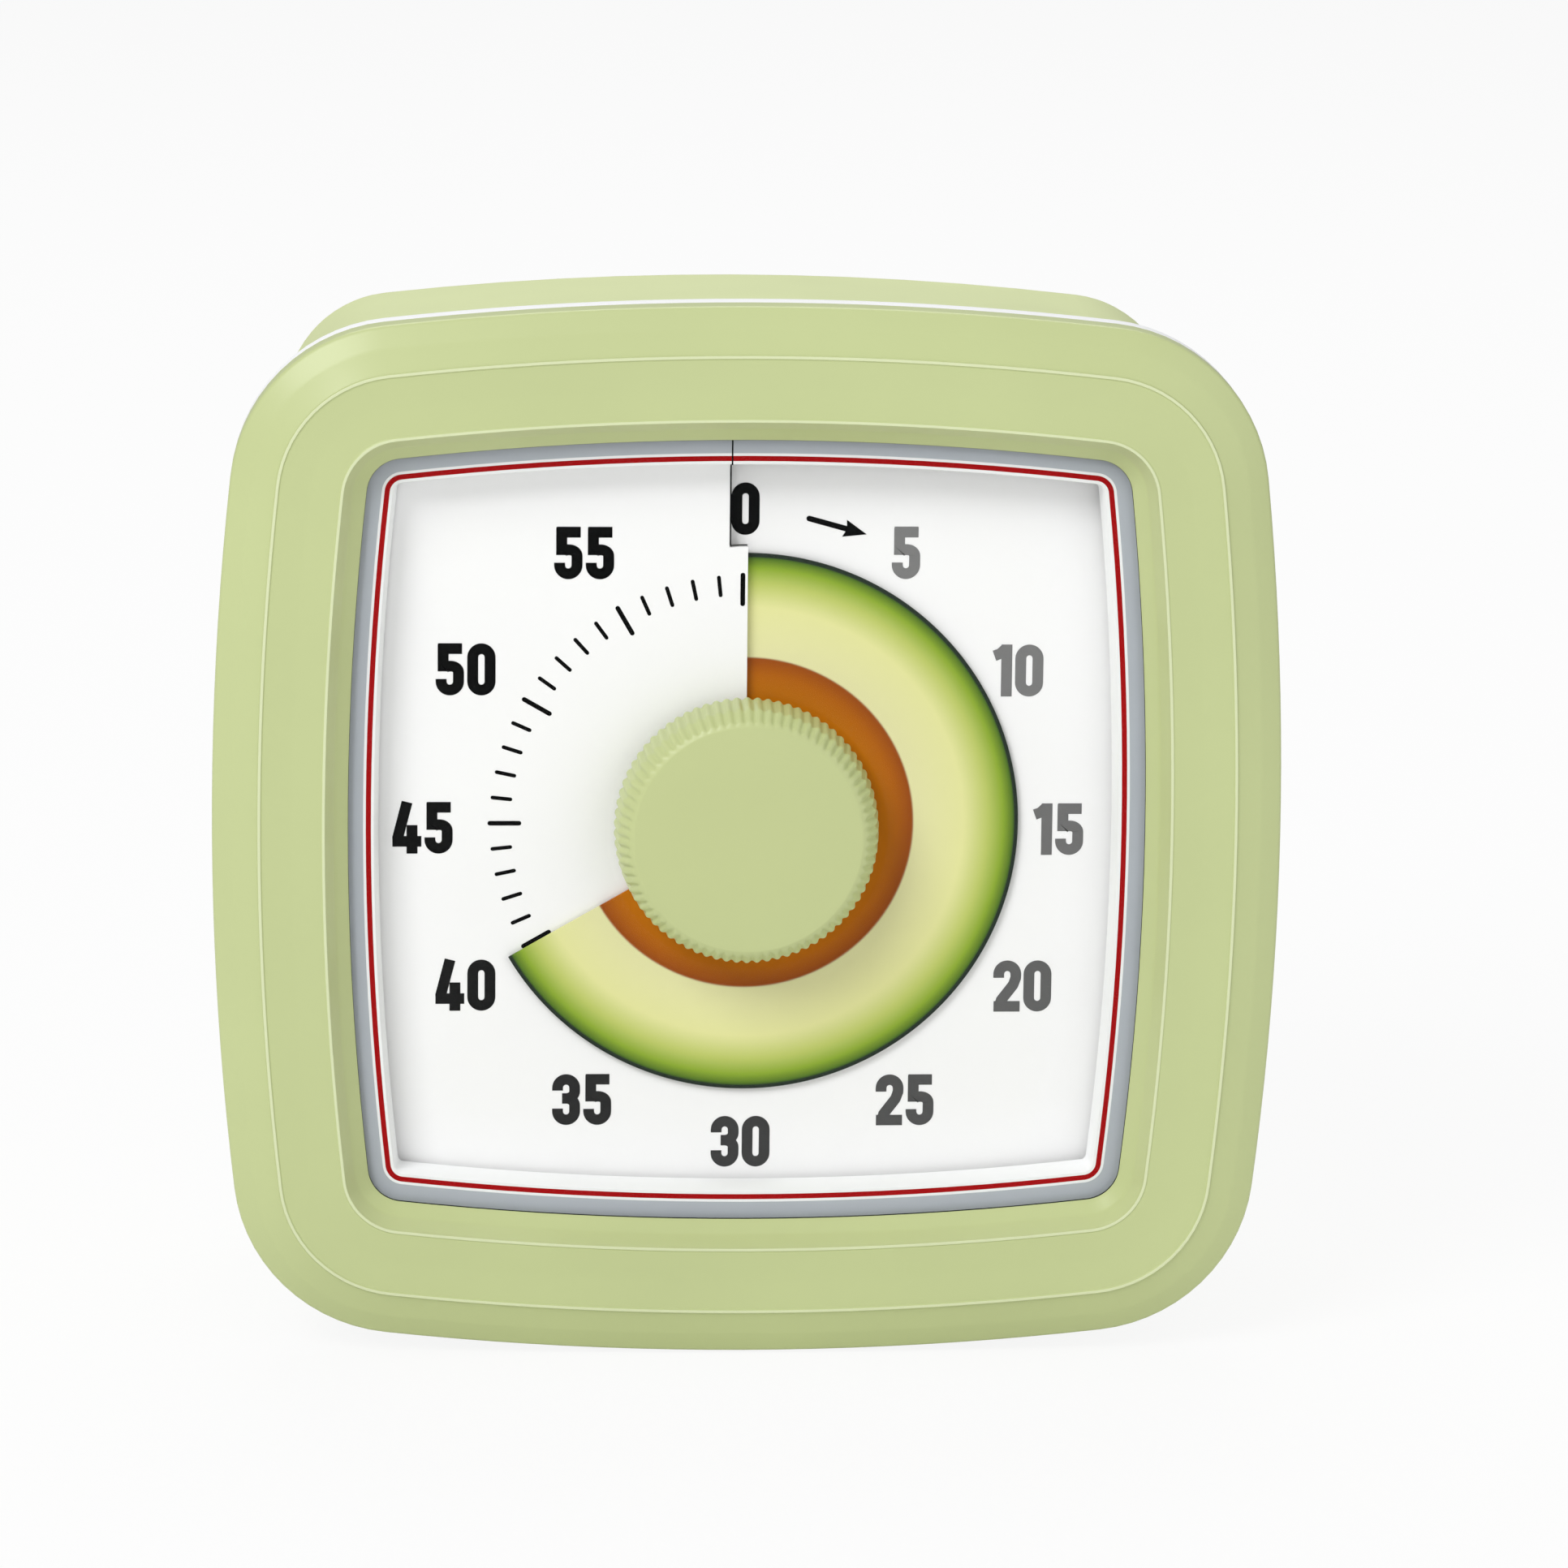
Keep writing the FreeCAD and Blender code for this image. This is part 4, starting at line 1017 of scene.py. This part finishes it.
        # Two thin black plates painted as the slit's shadow, one on the dial and one on the border.
        maker = MeshMaker("slit_painted_shadow")
        left, right = -self.jog - 0.07, -self.jog + 0.05
        for low, high, height in ((22.9, 29.9, -2.42), (29.95, 32.3, 0.385)):
            corners = ((left, low), (right, low), (right, high), (left, high))
            maker.plate([self.place.point(x, y, height) for x, y in corners])
        settle(maker.build([marking]), "case", "dial_white")


@dataclass
class Sector:
    """The coloured film, one climbing turn that winds through the slit.

    Attributes:
        place: The timer's frame.
        radius: Outer radius.
        hub: Radius of the hub that carries it.
        start: Clockwise angle of its leading edge in degrees.
        lowest: Height of its middle at the leading edge.
        pitch: How far it climbs in one turn.
        thickness: Thickness of the film.
    """

    place: Place
    radius: float = 22.15
    hub: float = 3.4
    start: float = 240.0
    lowest: float = -3.7
    pitch: float = 1.2
    thickness: float = 0.25

    def build(self, film: bpy.types.Material) -> None:
        """Builds the smooth film with its cut edges.

        Args:
            film: Material of the print.
        """
        steps = 240
        rings = 6
        maker = MeshMaker("film_sheet")
        rows = []
        for step in range(steps + 1):
            angle = math.radians(self.start + 360 * step / steps)
            rise = self.lowest + self.pitch * step / steps
            front, back = [], []
            for ring in range(rings + 1):
                radius = self.hub + (self.radius - self.hub) * ring / rings
                x, y = radius * math.sin(angle), radius * math.cos(angle)
                front.append(self.place.point(x, y, rise + self.thickness / 2))
                back.append(self.place.point(x, y, rise - self.thickness / 2))
            rows.append(front + back[::-1] + front[:1])
        maker.grid(rows, wrap=False)
        for row in (rows[0], rows[-1]):
            maker.plate(row[:-1])
        settle(maker.build([film]), "sector", "film_print", "sector_disc")


@dataclass
class Knob:
    """The fluted knob.

    Attributes:
        place: The timer's frame.
        base: Height of its back face.
        face: Height of its front face.
    """

    place: Place
    base: float = -1.45
    face: float = 3.7

    FLUTES = 78
    DEPTH = 0.22
    SHARPNESS = 1.4
    STEPS_PER_FLUTE = 8
    FADE_RADIUS = 9.35
    FADE_WIDTH = 0.5

    def build(self, body: bpy.types.Material) -> None:
        """Builds the knob with its flutes running out over the front edge.

        Args:
            body: Material of the knob.
        """
        profile = rounded([
            (0.0, self.base, 0), (10.7, self.base, 0.1), (10.72, self.base + 0.5, 0.2), (10.5, 2.2, 1.2),
            (9.75, 3.45, 0.8), (9.2, self.face, 0.5),
            (6.0, self.face - 0.03, 0), (0.02, self.face - 0.06, 0),
        ], 6)
        steps = self.FLUTES * self.STEPS_PER_FLUTE
        maker = MeshMaker("knob_fluted")
        rows = []
        for step in range(steps):
            angle = 2 * math.pi * step / steps
            wave = (0.5 - 0.5 * math.cos(self.FLUTES * angle)) ** self.SHARPNESS
            row = []
            for radius, height in profile:
                fade = min(1.0, max(0.0, (radius - self.FADE_RADIUS) / self.FADE_WIDTH))
                reach = radius - self.DEPTH * wave * fade
                row.append(self.place.point(reach * math.sin(angle), reach * math.cos(angle), height))
            rows.append(row)
        maker.grid(rows)
        settle(maker.build([body], 60.0), "winder", "knob_green", "knob")


@dataclass(frozen=True)
class Lamp:
    """A soft square lamp.

    Attributes:
        name: Name of the lamp.
        place: Where it stands, in metres.
        size: Length of its side in metres.
        power: Its power in watts.
    """

    name: str
    place: tuple[float, float, float]
    size: float
    power: float


@dataclass
class Studio:
    """Camera, lamps, floor and world.

    Attributes:
        place: The timer's frame.
    """

    place: Place

    AZIMUTH = -2.79
    ELEVATION = 12.23
    ROLL = 0.587
    DISTANCE = 0.6
    FOCAL_PIXELS = 9174
    AIM = (2.96, 3.84)
    SENSOR_WIDTH = 36.0
    WORLD_LIGHT = 0.4
    FLOOR_REACH = 1.6
    FLOOR_GLOW = 0.9
    FLOOR_ROUGH = 0.9
    LAMPS = (Lamp("key", (-0.5, -0.7, 0.75), 0.5, 6.6), Lamp("fill", (0.6, -0.6, 0.35), 0.7, 1.2),
             Lamp("rim", (0.0, 0.5, 0.8), 0.6, 2.7))

    def camera(self) -> None:
        """Sets up the camera at the photograph's view."""
        data = bpy.data.cameras.new("camera")
        camera = bpy.data.objects.new("camera", data)
        bpy.context.scene.collection.objects.link(camera)
        azimuth, elevation = math.radians(self.AZIMUTH), math.radians(self.ELEVATION)
        back = Vector((math.sin(azimuth) * math.cos(elevation), -math.cos(azimuth) * math.cos(elevation),
                       math.sin(elevation)))
        aim = self.place.point(self.AIM[0], self.AIM[1], 0.0)
        aim.y = self.place.back_y
        camera.location = aim + back * self.DISTANCE
        roll = Quaternion((0.0, 0.0, 1.0), math.radians(self.ROLL))
        camera.rotation_mode = "QUATERNION"
        camera.rotation_quaternion = (-back).to_track_quat("-Z", "Y") @ roll
        data.sensor_width = self.SENSOR_WIDTH
        data.lens = self.SENSOR_WIDTH * self.FOCAL_PIXELS / IMAGE_SIDE
        bpy.context.scene.camera = camera

    def world(self) -> None:
        """Lights the object evenly and shows the camera a plain near-white background."""
        world = bpy.data.worlds.new("studio")
        bpy.context.scene.world = world
        world.use_nodes = True
        tree = world.node_tree
        light = tree.nodes["Background"]
        light.inputs["Color"].default_value = (1.0, 1.0, 1.0, 1.0)
        light.inputs["Strength"].default_value = self.WORLD_LIGHT
        plain = tree.nodes.new("ShaderNodeBackground")
        plain.inputs["Color"].default_value = shade(252, 252, 252)
        seen = tree.nodes.new("ShaderNodeLightPath")
        mix = tree.nodes.new("ShaderNodeMixShader")
        tree.links.new(seen.outputs["Is Camera Ray"], mix.inputs[0])
        tree.links.new(light.outputs[0], mix.inputs[1])
        tree.links.new(plain.outputs[0], mix.inputs[2])
        tree.links.new(mix.outputs[0], tree.nodes["World Output"].inputs["Surface"])

    def lamp(self, lamp: Lamp) -> None:
        """Adds a lamp that faces the timer's middle.

        Args:
            lamp: The lamp.
        """
        data = bpy.data.lights.new(lamp.name, "AREA")
        data.size = lamp.size
        data.energy = lamp.power
        light = bpy.data.objects.new(lamp.name, data)
        bpy.context.scene.collection.objects.link(light)
        light.location = lamp.place
        target = Vector((0.0, 0.0, self.place.axis_z))
        light.rotation_mode = "QUATERNION"
        light.rotation_quaternion = (target - light.location).to_track_quat("-Z", "Y")

    def floor(self) -> None:
        """Lays the pale floor, which the camera sees as the plain background with a faint shadow."""
        maker = MeshMaker("floor")
        reach = self.FLOOR_REACH
        corners = ((-reach, -reach), (reach, -reach), (reach, reach), (-reach, reach))
        maker.plate([Vector((x, y, 0.0)) for x, y in corners])
        material, tree, shader = new_material("pale_floor")
        shader.inputs["Base Color"].default_value = shade(244, 244, 244)
        shader.inputs["Roughness"].default_value = self.FLOOR_ROUGH
        shader.inputs["Specular IOR Level"].default_value = 0.0
        glow = tree.nodes.new("ShaderNodeEmission")
        glow.inputs["Color"].default_value = shade(254, 254, 254)
        seen = tree.nodes.new("ShaderNodeLightPath")
        weight = maths(tree, "MULTIPLY", seen.outputs["Is Camera Ray"], self.FLOOR_GLOW)
        mix = tree.nodes.new("ShaderNodeMixShader")
        tree.links.new(weight, mix.inputs[0])
        tree.links.new(shader.outputs[0], mix.inputs[1])
        tree.links.new(glow.outputs[0], mix.inputs[2])
        tree.links.new(mix.outputs[0], tree.nodes["Material Output"].inputs["Surface"])
        maker.build([material])

    def build(self) -> None:
        """Sets up the whole studio."""
        self.camera()
        self.world()
        self.floor()
        for lamp in self.LAMPS:
            self.lamp(lamp)
        bpy.context.scene.view_settings.view_transform = "Standard"


def dress_nodes(frame: dict, place: Place) -> None:
    """Gives every CAD node that stays its own finish.

    Args:
        frame: The loaded frame.
        place: The timer's frame.
    """
    finishes = {
        "tray_white": Plastic("white_tray", (247, 247, 245), 0.01, 0.4).make(),
        "cover_green": Plastic("cover_green", (212, 221, 166), 0.015, 0.5, 0.01).make(),
        "foot_rubber": Plastic("foot_rubber", (38, 38, 38), 0.08, 0.8, 0.02).make(),
        "clear_lens": ClearLens("clear_lens").make(),
        "dial_white": Plastic("dial_white", (250, 250, 250), 0.004, 0.55, 0.001).make(),
        "film_print": Film("film_print", 22.0 * MM, place.axis_z).make(),
        "hub_plastic": Plastic("hub_plastic", (120, 70, 30), 0.05, 0.5).make(),
        "steel": Metal("steel", (190, 190, 192), 0.32).make(),
        "brass": Metal("brass", (200, 165, 95), 0.3).make(),
        "spring_steel": Metal("spring_steel", (95, 100, 115), 0.25).make(),
        "bell_metal": Metal("bell_metal", (205, 205, 208), 0.15).make(),
    }
    for entry in frame["record"]["subparts"]:
        node = frame["nodes"][entry["node"]]
        material = finishes.get(entry["material_slot"])
        if material is None:
            continue
        node.data.materials.clear()
        node.data.materials.append(material)
        LOG.info("%s dressed in %s", node.name, material.name)


def main() -> None:
    """Loads the frame, dresses it and builds the pieces that stand for CAD nodes."""
    logging.basicConfig(level=logging.INFO, format="%(name)s: %(message)s")
    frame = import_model()
    knob_low, knob_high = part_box("knob")
    bezel_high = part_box("bezel")[1]
    place = Place(bezel_high[1], (knob_low[2] + knob_high[2]) / 2)
    green = Plastic("bezel_green", (194, 204, 147), 0.012, 0.38, 0.003, 0.15).make()
    # Lighter green painted on the bezel's raised lines as their highlight.
    edge = Plastic("bezel_painted_highlight", (216, 224, 180), 0.01, 0.35, 0.002, 0.2).make()
    # Dark green-grey painted on the lip's inner wall as its shadow.
    lip_shadow = Plastic("lip_painted_shadow", (36, 42, 38), 0.05, 0.6, sheen=0.1).make()
    grey = Plastic("border_grey", (184, 190, 197), 0.015, 0.45, sheen=0.2).make()
    white = Plastic("border_white", (248, 249, 250), 0.005, 0.5, sheen=0.15).make()
    red = Plastic("line_red", (168, 8, 12), 0.02, 0.6, sheen=0.03).make()
    case = Case(place)
    case.bezel(green, edge, lip_shadow)
    case.surround(grey, white, red)
    case.flange(white)
    dress_nodes(frame, place)
    dial = Dial(place)
    dial.plate(Plastic("dial_face", (250, 250, 250), 0.004, 0.6, 0.001, sheen=0.1).make())
    dial.numerals()
    # Black for the printed ticks and arrow, and for the painted shadow strip in the slit.
    black = Plastic("ink_black", (4, 4, 4), 0.02, 0.8, 0.001, sheen=0.02).make()
    dial.ticks(black)
    dial.arrow(black)
    dial.slit(black)
    sector = Sector(place)
    sector.build(Film("film_colours", sector.radius * MM, place.axis_z).make())
    Knob(place).build(Plastic("knob_green", (193, 202, 144), 0.012, 0.4, 0.003, 0.1).make())
    Studio(place).build()


if __name__ == "__main__":
    main()
